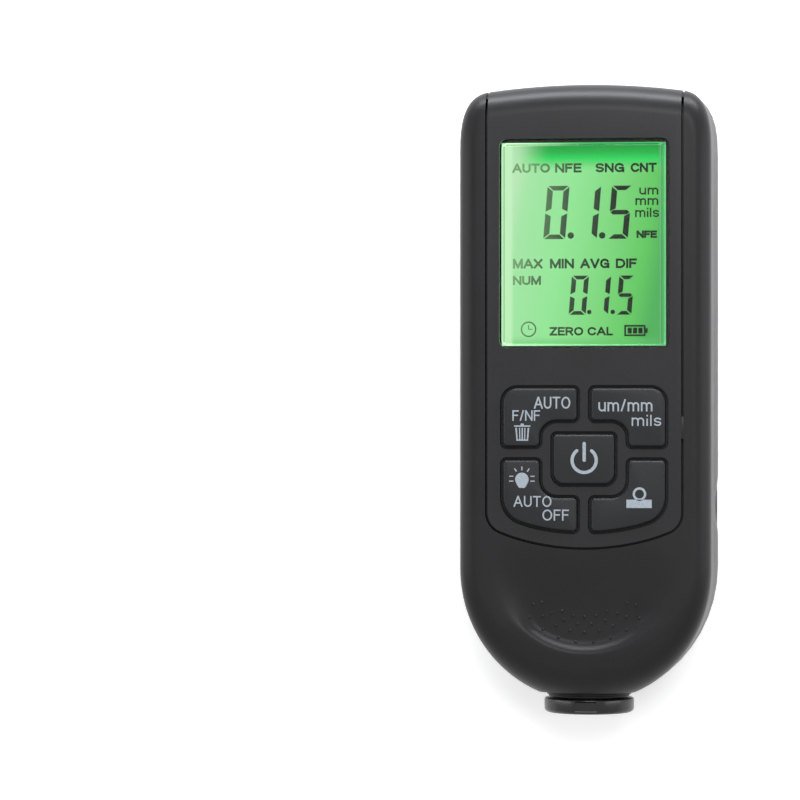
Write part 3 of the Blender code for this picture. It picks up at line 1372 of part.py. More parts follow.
def main():
    clear_scene()
    materials = build_materials()
    tools = build_tools()
    build_front_housing(tools, materials["case"])
    build_face_panel(materials["panel"])
    build_display(materials)
    build_board(materials)
    build_keys(materials)
    build_rear_housing(tools, materials["case"])
    build_battery_cover(tools, materials["case"])
    build_cells(materials)
    build_screws(materials["steel"])
    build_probe(materials)


main()
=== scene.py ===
"""Looks of a hand-held coating thickness gauge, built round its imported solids.

The gauge lies on its back: X runs across it, Y towards the display end and Z out of its face.
Sizes in the classes are in millimetres, and meshes are made in metres.
"""

import json
import logging
import math
from collections.abc import Iterable, Sequence
from dataclasses import dataclass, field
from enum import Enum

import bmesh
import bpy
from mathutils import Matrix, Vector

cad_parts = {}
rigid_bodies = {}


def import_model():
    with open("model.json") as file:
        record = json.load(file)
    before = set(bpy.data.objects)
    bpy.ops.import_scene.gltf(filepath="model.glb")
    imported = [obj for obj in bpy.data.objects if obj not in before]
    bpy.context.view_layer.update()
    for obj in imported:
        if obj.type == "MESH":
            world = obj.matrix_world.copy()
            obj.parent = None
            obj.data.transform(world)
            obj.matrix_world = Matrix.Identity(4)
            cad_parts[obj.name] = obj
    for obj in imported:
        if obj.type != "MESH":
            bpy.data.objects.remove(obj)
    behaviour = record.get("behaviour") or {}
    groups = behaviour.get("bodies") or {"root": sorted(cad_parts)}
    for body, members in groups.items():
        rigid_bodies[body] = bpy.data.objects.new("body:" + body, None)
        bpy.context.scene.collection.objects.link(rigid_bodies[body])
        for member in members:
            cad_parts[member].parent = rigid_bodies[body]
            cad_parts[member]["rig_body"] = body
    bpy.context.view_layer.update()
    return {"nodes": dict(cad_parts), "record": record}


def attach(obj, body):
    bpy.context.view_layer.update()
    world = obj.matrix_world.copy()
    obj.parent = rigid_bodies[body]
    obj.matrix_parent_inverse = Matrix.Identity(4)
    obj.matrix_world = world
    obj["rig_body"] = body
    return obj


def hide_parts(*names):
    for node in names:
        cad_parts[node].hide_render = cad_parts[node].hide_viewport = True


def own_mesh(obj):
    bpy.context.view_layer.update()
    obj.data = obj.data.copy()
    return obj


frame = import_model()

log = logging.getLogger("gauge")

MM = 0.001
FIT_GAP = 0.3  # air between touching pieces
OVERRUN = 2.0  # how far a cutter reaches past what it cuts
BEYOND = 29.0  # a height past the face
SOFT = 0.1  # how far a mask's edge fades

Point = tuple[float, float]
Corner = tuple[float, float, float]
Box = tuple[float, float, float, float]  # left, right, foot and top
Ring = list[Corner]
Colour = tuple[float, float, float]


def linear(red: int, green: int, blue: int) -> Colour:
    """Turn a display colour of 0 to 255 into scene-linear values.

    Args:
        red: Red, as a screen shows it.
        green: Green, as a screen shows it.
        blue: Blue, as a screen shows it.

    Returns:
        The same colour in linear light.
    """

    def channel(level: int) -> float:
        """One channel in linear light."""
        share = level / 255
        return share / 12.92 if share <= 0.04045 else ((share + 0.055) / 1.055) ** 2.4

    return channel(red), channel(green), channel(blue)


def scaled(colour: Colour, share: float) -> Colour:
    """A colour made darker or lighter."""
    return tuple(level * share for level in colour)


# Shader maths


class Signal:
    """A node's output socket, with Python's operators for shader maths."""

    def __init__(self, recipe: "Recipe", socket: bpy.types.NodeSocket) -> None:
        """Wrap one output socket of a recipe's tree."""
        self.recipe = recipe
        self.socket = socket

    def maths(self, operation: str, *values: "Signal | float") -> "Signal":
        """Add one Math node with its operands in order, and give its output."""
        return self.recipe.node("ShaderNodeMath", {"operation": operation}, dict(enumerate(values)))

    def __add__(self, other: "Signal | float") -> "Signal":
        """Sum."""
        return self.maths("ADD", self, other)

    def __radd__(self, other: float) -> "Signal":
        """Sum with a number on the left."""
        return self.maths("ADD", other, self)

    def __sub__(self, other: "Signal | float") -> "Signal":
        """Difference."""
        return self.maths("SUBTRACT", self, other)

    def __rsub__(self, other: float) -> "Signal":
        """Difference from a number."""
        return self.maths("SUBTRACT", other, self)

    def __mul__(self, other: "Signal | float") -> "Signal":
        """Product."""
        return self.maths("MULTIPLY", self, other)

    def __rmul__(self, other: float) -> "Signal":
        """Product with a number on the left."""
        return self.maths("MULTIPLY", other, self)

    def __truediv__(self, other: "Signal | float") -> "Signal":
        """Quotient."""
        return self.maths("DIVIDE", self, other)

    def __abs__(self) -> "Signal":
        """Size without sign."""
        return self.maths("ABSOLUTE", self)

    def __or__(self, other: "Signal") -> "Signal":
        """The larger of two masks."""
        return self.maths("MAXIMUM", self, other)

    def ease(self, low: float, high: float) -> "Signal":
        """A smooth step from 0 to 1; it falls where low lies above high."""
        limits = {"Value": self, "From Min": low, "From Max": high}
        return self.recipe.node("ShaderNodeMapRange", {"interpolation_type": "SMOOTHSTEP"}, limits)


class Recipe:
    """The node tree of one material or of the world."""

    def __init__(self, owner: bpy.types.Material | bpy.types.World) -> None:
        """Start an empty tree in a new material or world."""
        self.owner = owner
        owner.use_nodes = True
        self.tree = owner.node_tree
        self.tree.nodes.clear()

    @classmethod
    def named(cls, name: str) -> "Recipe":
        """A recipe for a new material."""
        return cls(bpy.data.materials.new(name))

    def node(
        self,
        kind: str,
        settings: dict[str, object] | None = None,
        inputs: dict[str | int, object] | None = None,
        output: str | int = 0,
    ) -> Signal:
        """Add any node.

        Args:
            kind: The node's type.
            settings: Properties that are set first; "stops" fills a colour ramp.
            inputs: Values or links of its sockets, by name or number.
            output: The socket to return.

        Returns:
            One output of the node.
        """
        made = self.tree.nodes.new(kind)
        for key, value in (settings or {}).items():
            if key == "stops":
                self._fill_ramp(made.color_ramp, value)
            else:
                setattr(made, key, value)
        for key, value in (inputs or {}).items():
            if isinstance(value, Signal):
                self.tree.links.new(value.socket, made.inputs[key])
            elif isinstance(value, tuple) and len(value) == 3 and made.inputs[key].type == "RGBA":
                made.inputs[key].default_value = (*value, 1.0)
            else:
                made.inputs[key].default_value = value
        return Signal(self, made.outputs[output])

    @staticmethod
    def _fill_ramp(ramp: bpy.types.ColorRamp, stops: Sequence[tuple[float, Colour]]) -> None:
        """Set a ramp's stops.

        Args:
            ramp: The ramp of a Color Ramp node.
            stops: Places from 0 to 1 with their colours.
        """
        while len(ramp.elements) < len(stops):
            ramp.elements.new(1.0)
        for element, (place, colour) in zip(ramp.elements, stops):
            element.position = place
            element.color = (*colour, 1.0)

    def place(self) -> Signal:
        """The place on the gauge, in metres."""
        return self.node("ShaderNodeTexCoord", output="Object")

    def axis(self, name: str) -> Signal:
        """One coordinate in millimetres: "X", "Y" or "Z"."""
        parts = self.node("ShaderNodeSeparateXYZ", inputs={0: self.place()}, output=name)
        return parts / MM

    def noise(self, grain: float, detail: float = 2.0, roughness: float = 0.5) -> Signal:
        """Cloudy noise from 0 to 1, with the size of its features in millimetres."""
        inputs = {"Vector": self.place(), "Scale": 1 / (grain * MM), "Detail": detail, "Roughness": roughness}
        return self.node("ShaderNodeTexNoise", inputs=inputs)

    def blend(self, share: Signal | float, first: object, second: object) -> Signal:
        """Mix two colours or signals: a share of 0 gives the first and 1 the second."""
        return self.node("ShaderNodeMix", {"data_type": "RGBA"}, {0: share, 6: first, 7: second}, 2)

    def bump(self, height: Signal, depth: float) -> Signal:
        """A normal from a height of 0 to 1, where 1 stands for a depth in millimetres."""
        return self.node("ShaderNodeBump", inputs={"Height": height, "Distance": depth * MM})

    def principled(self, **inputs: object) -> bpy.types.Material:
        """End the tree in a Principled shader; underscores stand for blanks in its sockets' names."""
        named = {key.replace("_", " "): value for key, value in inputs.items()}
        return self.output(self.node("ShaderNodeBsdfPrincipled", inputs=named))

    def output(self, shader: Signal) -> bpy.types.Material | bpy.types.World:
        """Send a shader to the surface.

        Args:
            shader: The last shader.

        Returns:
            The finished material or world.
        """
        in_world = isinstance(self.owner, bpy.types.World)
        end = self.tree.nodes.new("ShaderNodeOutputWorld" if in_world else "ShaderNodeOutputMaterial")
        self.tree.links.new(shader.socket, end.inputs["Surface"])
        return self.owner


# Finishes


@dataclass(frozen=True)
class Moulded:
    """Spark-eroded moulded plastic: a fine even grain with cloudy differences in shine."""

    name: str
    colour: Colour
    roughness: float = 0.42
    grain: float = 0.22
    depth: float = 0.012
    tint: float = 0.12
    coat: float = 0.0
    shine: float = 0.25

    def material(self) -> bpy.types.Material:
        """The finish as a material."""
        recipe = Recipe.named(self.name)
        fine = recipe.noise(self.grain, 3.0, 0.6)
        cloud = recipe.noise(14.0, 3.0, 0.5)
        speck = recipe.noise(self.grain * 2.4, 1.0)
        dark, light = scaled(self.colour, 1 - self.tint), scaled(self.colour, 1 + self.tint)
        shade = (cloud * 0.6 + speck * 0.4).ease(0.35, 0.65)
        rough = self.roughness - 0.06 + fine * 0.08 + cloud * 0.06
        return recipe.principled(
            Base_Color=recipe.blend(shade, dark, light),
            Roughness=rough,
            Normal=recipe.bump(fine, self.depth),
            Coat_Weight=self.coat,
            Coat_Roughness=0.08,
            Specular_IOR_Level=self.shine,
        )


@dataclass(frozen=True)
class Metal:
    """Drawn or machined metal with fine lines along one axis."""

    name: str
    colour: Colour
    roughness: float = 0.3
    lines: float = 0.08

    def material(self) -> bpy.types.Material:
        """The finish as a material."""
        recipe = Recipe.named(self.name)
        streak = recipe.noise(self.lines, 2.0)
        cloud = recipe.noise(3.0, 2.0)
        dark = scaled(self.colour, 0.8)
        return recipe.principled(
            Base_Color=recipe.blend(cloud, dark, self.colour),
            Metallic=1.0,
            Roughness=self.roughness - 0.05 + streak * 0.12,
            Normal=recipe.bump(streak, 0.004),
        )


@dataclass(frozen=True)
class Print:
    """Printed ink with a slightly uneven edge and cover."""

    name: str
    colour: Colour
    roughness: float = 0.5

    def material(self) -> bpy.types.Material:
        """The finish as a material."""
        recipe = Recipe.named(self.name)
        cover = recipe.noise(0.35, 2.0)
        thin = scaled(self.colour, 0.82)
        return recipe.principled(
            Base_Color=recipe.blend(cover.ease(0.3, 0.6), thin, self.colour),
            Roughness=self.roughness + cover * 0.1,
            Normal=recipe.bump(cover, 0.003),
        )


@dataclass(frozen=True)
class ClearPane:
    """Clear acrylic with faint waviness, whose rim carries a painted green glow and painted highlight lines.
    """

    name: str = "clear_pane"
    sides: Box = (-15.75, 15.2, 10.5, 48.85)
    view: Box = (-15.12, 14.75, 10.85, 48.3)
    # Strengths of the painted highlight lines at the left, right, foot and top edges.
    painted_highlight_strengths: Box = (0.7, 0.45, 0.4, 0.35)
    line: float = 0.22
    inner_line: float = 14.25
    inner_width: float = 0.12
    # Where the painted rim glow turns from pale at the left to deep green.
    fade: Point = (-13.0, 2.0)
    painted_rim_highlight: float = 0.3
    painted_inner_highlight: float = 0.12

    def material(self) -> bpy.types.Material:
        """The finish as a material."""
        recipe = Recipe.named(self.name)
        wave = recipe.noise(9.0, 1.0)
        across, along = recipe.axis("X"), recipe.axis("Y")
        view_left, view_right, view_foot, view_top = self.view
        left, right, foot, top = self.sides
        left_painted_highlight, right_painted_highlight, foot_painted_highlight, top_painted_highlight = self.painted_highlight_strengths
        flanks = across.ease(view_left + SOFT, view_left - SOFT)
        flanks = flanks | across.ease(view_right - SOFT, view_right + SOFT)
        ends = along.ease(view_foot + SOFT, view_foot - SOFT) | along.ease(view_top - SOFT, view_top + SOFT)
        inside = along.ease(foot - SOFT, foot) * along.ease(top + SOFT, top)
        inside = inside * across.ease(left - SOFT, left) * across.ease(right + SOFT, right)
        # Painted highlight lines along the lens's four edges.
        edge = across.ease(left + self.line, left + SOFT) * left_painted_highlight
        edge = edge | across.ease(right - self.line, right - SOFT) * right_painted_highlight
        edge = edge | along.ease(top - self.line, top - SOFT) * top_painted_highlight
        edge = edge | along.ease(foot + self.line, foot + SOFT) * foot_painted_highlight
        # A painted highlight line inside the lens, near its right side.
        inner = across.ease(self.inner_line - SOFT, self.inner_line)
        inner = inner * across.ease(self.inner_line + self.inner_width, self.inner_line)
        # Painted green glow on the band between the view and the lens's sides, paler at the left.
        body = recipe.blend(across.ease(*self.fade), linear(120, 160, 118), linear(22, 104, 50))
        body = recipe.blend((flanks | ends) * inside, (0.0, 0.0, 0.0), body)
        shine = (edge * self.painted_rim_highlight | inner * self.painted_inner_highlight) * inside
        glow = recipe.blend(shine, body, linear(190, 250, 205))
        return recipe.principled(
            Base_Color=(0.97, 0.99, 0.97),
            Roughness=0.01 + wave * 0.02,
            IOR=1.25,
            Transmission_Weight=1.0,
            Emission_Color=glow,
            Emission_Strength=1.0,
            Normal=recipe.bump(wave, 0.01),
        )


@dataclass(frozen=True)
class LitScreen:
    """The green of a display that is lit from behind its glass, paler at the left, with a painted reflection
    along its left edge and a painted highlight along its foot.
    """

    name: str = "lit_screen"
    left: float = -15.4
    right: float = 14.9
    foot: float = 10.9
    top: float = 48.2
    lean: float = 0.22
    band: float = 0.86
    band_height: float = 0.14

    BASE = (
        (0.0, linear(184, 230, 182)),
        (0.08, linear(162, 228, 164)),
        (0.36, linear(144, 228, 148)),
        (0.62, linear(124, 214, 124)),
        (0.88, linear(92, 196, 90)),
        (1.0, linear(72, 172, 84)),
    )
    TOP_BAND = (
        (0.0, linear(130, 228, 140)),
        (0.35, linear(60, 208, 100)),
        (0.55, linear(16, 212, 86)),
        (0.80, linear(4, 174, 64)),
        (1.0, linear(2, 158, 56)),
    )

    def material(self) -> bpy.types.Material:
        """The finish as a material."""
        recipe = Recipe.named(self.name)
        across = (recipe.axis("X") - self.left) / (self.right - self.left)
        along = (recipe.axis("Y") - self.foot) / (self.top - self.foot)
        slant = across + (0.5 - along) * self.lean
        base = recipe.node("ShaderNodeValToRGB", {"stops": self.BASE}, {"Fac": slant})
        height = (along - self.band) / self.band_height
        band = recipe.node("ShaderNodeValToRGB", {"stops": self.TOP_BAND}, {"Fac": height})
        reach = along.ease(self.band, 0.95) * across.ease(0.02, 0.30)
        # A painted highlight: a lighter line along the screen's foot.
        painted_foot_highlight = along.ease(0.045, 0.0) * 0.5
        colour = recipe.blend(reach, base, band)
        colour = recipe.blend(painted_foot_highlight, colour, linear(96, 190, 110))
        # A painted reflection: a pale band along the screen's left edge.
        colour = recipe.blend(across.ease(0.062, 0.035) * 0.7, colour, linear(200, 244, 194))
        colour = recipe.blend(across.ease(0.955, 0.985) * 0.7, colour, linear(66, 146, 92))
        grain = recipe.noise(0.3, 1.0)
        return recipe.principled(
            Base_Color=recipe.blend(grain, linear(14, 26, 14), linear(18, 30, 18)),
            Roughness=0.35,
            Emission_Color=colour,
            Emission_Strength=1.0,
            Specular_IOR_Level=0.1,
        )


@dataclass(frozen=True)
class Segments:
    """The dark of a display's segments, with a painted reflection that greys them towards the left."""

    name: str = "screen_segments"
    left: float = -15.0
    width: float = 30.0
    foot: float = 10.0
    height: float = 40.0

    SHADES = (
        (0.0, linear(112, 160, 108)),
        (0.12, linear(84, 120, 82)),
        (0.30, linear(50, 76, 52)),
        (0.60, linear(10, 32, 12)),
        (1.0, linear(0, 10, 0)),
    )

    def material(self) -> bpy.types.Material:
        """The finish as a material."""
        recipe = Recipe.named(self.name)
        across = (recipe.axis("X") - self.left) / self.width
        along = (recipe.axis("Y") - self.foot) / self.height
        # Painted reflection: the segments turn greyer towards the left and a little towards the top.
        share = across * 1.1 - along * 0.2
        colour = recipe.node("ShaderNodeValToRGB", {"stops": self.SHADES}, {"Fac": share})
        return recipe.principled(
            Base_Color=linear(8, 14, 8),
            Roughness=0.4 + recipe.noise(0.5) * 0.1,
            Emission_Color=colour,
            Emission_Strength=1.0,
            Specular_IOR_Level=0.1,
        )


@dataclass(frozen=True)
class Sleeve:
    """A cell's printed jacket with one band of another colour at its plus end."""

    name: str
    colour: Colour
    band: Colour
    band_start: float
    band_end: float

    def material(self) -> bpy.types.Material:
        """The finish as a material."""
        recipe = Recipe.named(self.name)
        along = recipe.axis("Y")
        soft = SOFT / 2
        inside = along.ease(self.band_start - soft, self.band_start + soft)
        outside = along.ease(self.band_end - soft, self.band_end + soft)
        wear = recipe.noise(2.0, 3.0)
        colour = recipe.blend(abs(inside - outside), self.colour, self.band)
        return recipe.principled(
            Base_Color=colour,
            Metallic=0.4,
            Roughness=0.28 + wear * 0.1,
            Normal=recipe.bump(wear, 0.01),
        )


@dataclass(frozen=True)
class BoardFilm:
    """Solder mask over copper tracks."""

    name: str = "board_film"

    def material(self) -> bpy.types.Material:
        """The finish as a material."""
        recipe = Recipe.named(self.name)
        black = (0, 0, 0)
        sizes = {"Vector": recipe.place(), "Scale": 300.0, "Mortar Size": 0.012}
        tracks = recipe.node(
            "ShaderNodeTexBrick", {"offset": 0.5}, {**sizes, "Color1": black, "Color2": black}, "Fac"
        )
        return recipe.principled(
            Base_Color=recipe.blend(tracks, (0.015, 0.14, 0.05), (0.03, 0.24, 0.09)),
            Roughness=0.3 + recipe.noise(0.6) * 0.1,
            Normal=recipe.bump(tracks, 0.02),
        )


# Meshes


class Work(Enum):
    """What one form does to another."""

    CUT = "DIFFERENCE"
    JOIN = "UNION"
    KEEP = "INTERSECT"


class Solid:
    """A closed mesh in millimetres while it is made."""

    def __init__(self) -> None:
        """Start with nothing."""
        self.shape = bmesh.new()

    def loft(self, rings: Sequence[Ring], closed: bool = False) -> "Solid":
        """Add a skin through rings of equally many points.

        Args:
            rings: The rings, in order.
            closed: True joins the last ring to the first; False caps both ends.

        Returns:
            This solid.
        """
        shape = bmesh.new()
        loops = [[shape.verts.new(Vector(point)) for point in ring] for ring in rings]
        pairs = list(zip(loops, loops[1:]))
        if closed:
            pairs.append((loops[-1], loops[0]))
        else:
            shape.faces.new(reversed(loops[0]))
            shape.faces.new(loops[-1])
        for lower, upper in pairs:
            for index, corner in enumerate(lower):
                following = (index + 1) % len(lower)
                shape.faces.new((corner, lower[following], upper[following], upper[index]))
        if shape.calc_volume(signed=True) < 0:
            bmesh.ops.reverse_faces(shape, faces=shape.faces)
        return self.absorb(shape)

    def absorb(self, shape: bmesh.types.BMesh) -> "Solid":
        """Move another mesh's faces into this one.

        Args:
            shape: The mesh; it is freed.

        Returns:
            This solid.
        """
        spare = bpy.data.meshes.new("spare")
        shape.to_mesh(spare)
        shape.free()
        self.shape.from_mesh(spare)
        bpy.data.meshes.remove(spare)
        return self

    def prism(self, outline: Sequence[Vector], low: float, high: float) -> "Solid":
        """Add a flat outline raised between two heights."""
        return self.loft([flat(outline, z) for z in (low, high)])

    def block(self, left: float, right: float, near: float, far: float, low: float, high: float) -> "Solid":
        """Add a box by its six sides."""
        return self.prism(rectangle((left, right, near, far)), low, high)

    def turned(
        self,
        profile: Iterable[Point],
        centre: Point = (0.0, 0.0),
        upright: bool = False,
        closed: bool = False,
        sides: int = 64,
    ) -> "Solid":
        """Add a turned form.

        Args:
            profile: Pairs of place along the axis and radius.
            centre: Where the axis stands, in the plane that it crosses.
            upright: True turns about Z; False turns about Y.
            closed: True for a profile that closes on itself.
            sides: Facets round the axis.

        Returns:
            This solid.
        """
        rings = []
        for along, radius in profile:
            ring = []
            for index in range(sides):
                turn = 2 * math.pi * index / sides
                first = centre[0] + radius * math.cos(turn)
                second = centre[1] + radius * math.sin(turn)
                ring.append((first, second, along) if upright else (first, along, second))
            rings.append(ring)
        return self.loft(rings, closed)

    def copied(self, node: bpy.types.Object) -> "Solid":
        """Add a CAD node's form, with its corners joined so that it can be shaded smooth.

        Args:
            node: The node's object, which stays as it is.

        Returns:
            This solid.
        """
        shape = bmesh.new()
        corners = [shape.verts.new(vert.co / MM) for vert in node.data.vertices]
        for face in node.data.polygons:
            shape.faces.new([corners[index] for index in face.vertices])
        bmesh.ops.remove_doubles(shape, verts=shape.verts, dist=1e-4)
        return self.absorb(shape)

    def mesh(self, name: str, smooth: float = 32.0) -> bpy.types.Mesh:
        """Finish the mesh in metres.

        Args:
            name: The mesh's name.
            smooth: Edges sharper than this many degrees stay sharp.

        Returns:
            The mesh.
        """
        bmesh.ops.scale(self.shape, vec=(MM, MM, MM), verts=self.shape.verts)
        made = bpy.data.meshes.new(name)
        self.shape.to_mesh(made)
        self.shape.free()
        made.shade_smooth()
        made.set_sharp_from_angle(angle=math.radians(smooth))
        return made


@dataclass
class Maker:
    """Puts finished pieces on their bodies, and holds the tools that cut them."""

    finishes: dict[str, bpy.types.Material] = field(default_factory=dict)

    def finish(self, kind: object) -> bpy.types.Material:
        """A finish's material, made once.

        Args:
            kind: One of the finish classes.

        Returns:
            The material.
        """
        if kind.name not in self.finishes:
            self.finishes[kind.name] = kind.material()
        return self.finishes[kind.name]

    def raw(self, name: str, solid: Solid, smooth: float = 32.0) -> bpy.types.Object:
        """An object with no body yet.

        Args:
            name: The object's name.
            solid: Its form.
            smooth: Edges sharper than this many degrees stay sharp.

        Returns:
            The object.
        """
        made = bpy.data.objects.new(name, solid.mesh(name, smooth))
        bpy.context.scene.collection.objects.link(made)
        return made

    def combine(self, target: bpy.types.Object, work: Work, tool: Solid | bpy.types.Object) -> None:
        """Cut, join or keep by another form, at once.

        Args:
            target: The object that changes.
            work: What the other form does to it.
            tool: The other form, which is used up.
        """
        other = self.raw("tool", tool) if isinstance(tool, Solid) else tool
        modifier = target.modifiers.new("form", "BOOLEAN")
        modifier.operation = work.value
        modifier.solver = "EXACT"
        modifier.object = other
        graph = bpy.context.evaluated_depsgraph_get()
        result = bpy.data.meshes.new_from_object(target.evaluated_get(graph), depsgraph=graph)
        target.modifiers.clear()
        old = target.data
        result.name = old.name
        target.data = result
        bpy.data.meshes.remove(old)
        spare = other.data
        bpy.data.objects.remove(other, do_unlink=True)
        bpy.data.meshes.remove(spare)

    def cut(self, target: bpy.types.Object, tool: Solid | bpy.types.Object) -> None:
        """Take a form away from an object."""
        self.combine(target, Work.CUT, tool)

    def add(self, target: bpy.types.Object, tool: Solid | bpy.types.Object) -> None:
        """Join a form to an object."""
        self.combine(target, Work.JOIN, tool)

    def keep(self, target: bpy.types.Object, tool: Solid | bpy.types.Object) -> None:
        """Keep only what an object shares with a form."""
        self.combine(target, Work.KEEP, tool)

    def smooth(self, target: bpy.types.Object, angle: float = 32.0) -> None:
        """Shade an object smooth but for its sharp edges."""
        target.data.shade_smooth()
        target.data.set_sharp_from_angle(angle=math.radians(angle))

    def dress(
        self,
        piece: bpy.types.Object,
        kind: object,
        body: str,
        slot: str,
        replaces: Sequence[str] = (),
    ) -> bpy.types.Object:
        """Give a piece its finish and put it on its body.

        Args:
            piece: The object.
            kind: Its finish.
            body: The body that it rides on.
            slot: The record's material slot; not used.
            replaces: CAD nodes that it stands for.

        Returns:
            The piece.
        """
        piece.data.materials.clear()
        piece.data.materials.append(self.finish(kind))
        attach(piece, body)
        if replaces:
            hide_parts(*replaces)
        log.info("%s: %d faces", piece.name, len(piece.data.polygons))
        return piece

    def recoat(self, node: str, kind: object) -> None:
        """Give a CAD node a finish.

        Args:
            node: The node's name.
            kind: Its finish.
        """
        target = frame["nodes"][node]
        for slot in target.material_slots:
            slot.material = self.finish(kind)
        log.info("%s: %s", node, kind.name)

    def refine(self, node: str, kind: object, angle: float = 32.0) -> bpy.types.Object:
        """Stand a copy in for a CAD node, shaded smooth over the node's facets.

        Args:
            node: The node's name.
            kind: The copy's finish.
            angle: Edges sharper than this many degrees stay sharp.

        Returns:
            The copy.
        """
        original = frame["nodes"][node]
        slots = {part["node"]: part["material_slot"] for part in frame["record"]["subparts"]}
        piece = self.raw(f"{node}_smooth", Solid().copied(original), angle)
        even = piece.modifiers.new("even shading", "WEIGHTED_NORMAL")
        even.keep_sharp = True
        return self.dress(piece, kind, original["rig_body"], slots[node], [node])


# Finishes of this gauge

CASE = Moulded("case_plastic_grain", linear(24, 22, 24), 0.38, shine=0.22)
PANEL = Moulded("panel_plastic_grain", linear(28, 28, 30), 0.36, grain=0.18, depth=0.008)
KEYS = Moulded("key_plastic_grain", linear(29, 30, 32), 0.38, grain=0.16, depth=0.006)
GLOSS = Moulded("ring_gloss", linear(24, 23, 25), 0.26, grain=1.5, depth=0.002, coat=0.12, shine=0.3)
BLACK = Moulded("black_plastic_grain", linear(16, 16, 17), 0.5, shine=0.2)
LEGEND = Print("legend_ink", linear(160, 170, 180))
RUBBER = Moulded("mat_rubber", linear(120, 120, 122), 0.62, grain=0.5, depth=0.01)
STRIP = Moulded("strip_rubber_grain", linear(50, 50, 50), 0.7, grain=0.3)
IVORY = Moulded("ivory_nylon_grain", linear(222, 214, 196), 0.5, grain=0.4, tint=0.05)
LEAD = Moulded("lead_jacket_grain", linear(40, 40, 42), 0.5, grain=0.3)
STEEL = Metal("screw_steel", linear(176, 176, 178), 0.32)
PLATED = Metal("contact_plate", linear(206, 202, 194), 0.22)
COPPER = Metal("winding_copper", linear(202, 120, 76), 0.34, lines=0.12)
DIFFUSER = Moulded("light_guide_sheet", linear(236, 240, 236), 0.35, grain=0.6, tint=0.03)
LAMP = Moulded("lamp_resin", linear(236, 230, 176), 0.25, grain=0.8, tint=0.04)


# Outlines


def quarter(steps: int) -> list[float]:
    """Angles from 0 to a right angle, in equal steps."""
    return [math.radians(90 * step / steps) for step in range(steps + 1)]


def rounded(corners: Sequence[Corner], steps: int = 10) -> list[Vector]:
    """An outline through corners that are rounded by arcs.

    Args:
        corners: Places with their radii, counter-clockwise.
        steps: Facets in each arc.

    Returns:
        The outline's points.
    """
    points = []
    for index, (x, y, radius) in enumerate(corners):
        here = Vector((x, y))
        if radius == 0:
            points.append(here)
            continue
        back = (Vector(corners[index - 1][:2]) - here).normalized()
        ahead = (Vector(corners[(index + 1) % len(corners)][:2]) - here).normalized()
        half = back.angle(ahead) / 2
        centre = here + (back + ahead).normalized() * (radius / math.sin(half))
        start = here + back * (radius / math.tan(half)) - centre
        end = here + ahead * (radius / math.tan(half)) - centre
        sweep = start.angle_signed(end)
        for step in range(steps + 1):
            spoke = start.copy()
            spoke.rotate(Matrix.Rotation(-sweep * step / steps, 2))
            points.append(centre + spoke)
    return points


def rectangle(box: Box, corner: float = 0.0, steps: int = 10) -> list[Vector]:
    """A rectangle's outline, with all corners rounded alike."""
    left, right, foot, top = box
    places = ((left, foot), (right, foot), (right, top), (left, top))
    return rounded([(x, y, corner) for x, y in places], steps)


def flat(outline: Iterable[Vector], z: float) -> Ring:
    """An outline laid at one height."""
    return [(point.x, point.y, z) for point in outline]


def grown(outline: Sequence[Vector], distance: float) -> list[Vector]:
    """An outline moved outwards.

    Args:
        outline: Counter-clockwise points.
        distance: How far it moves.

    Returns:
        The moved points.
    """
    moved = []
    for index, point in enumerate(outline):
        before = (point - outline[index - 1]).normalized()
        after = (outline[(index + 1) % len(outline)] - point).normalized()
        normal = Vector((before.y + after.y, -before.x - after.x)).normalized()
        reach = normal.dot(Vector((before.y, -before.x)))
        moved.append(point + normal * (distance / reach))
    return moved


def mirrored(outline: Sequence[Vector]) -> list[Vector]:
    """An outline on the other side of the middle line."""
    return [Vector((-point.x, point.y)) for point in reversed(outline)]


def softened(outline: Sequence[Vector], low: float, high: float, edge: float, steps: int = 5) -> list[Ring]:
    """Rings of a prism whose upper edge is rounded.

    Args:
        outline: Its plan.
        low: Its foot.
        high: Its top.
        edge: Radius of the upper edge.
        steps: Facets of the rounding.

    Returns:
        Rings from the foot to the top.
    """
    rings = [flat(outline, low)]
    for turn in quarter(steps):
        inner = grown(outline, -edge * (1 - math.cos(turn)))
        rings.append(flat(inner, high - edge * (1 - math.sin(turn))))
    return rings


# The case


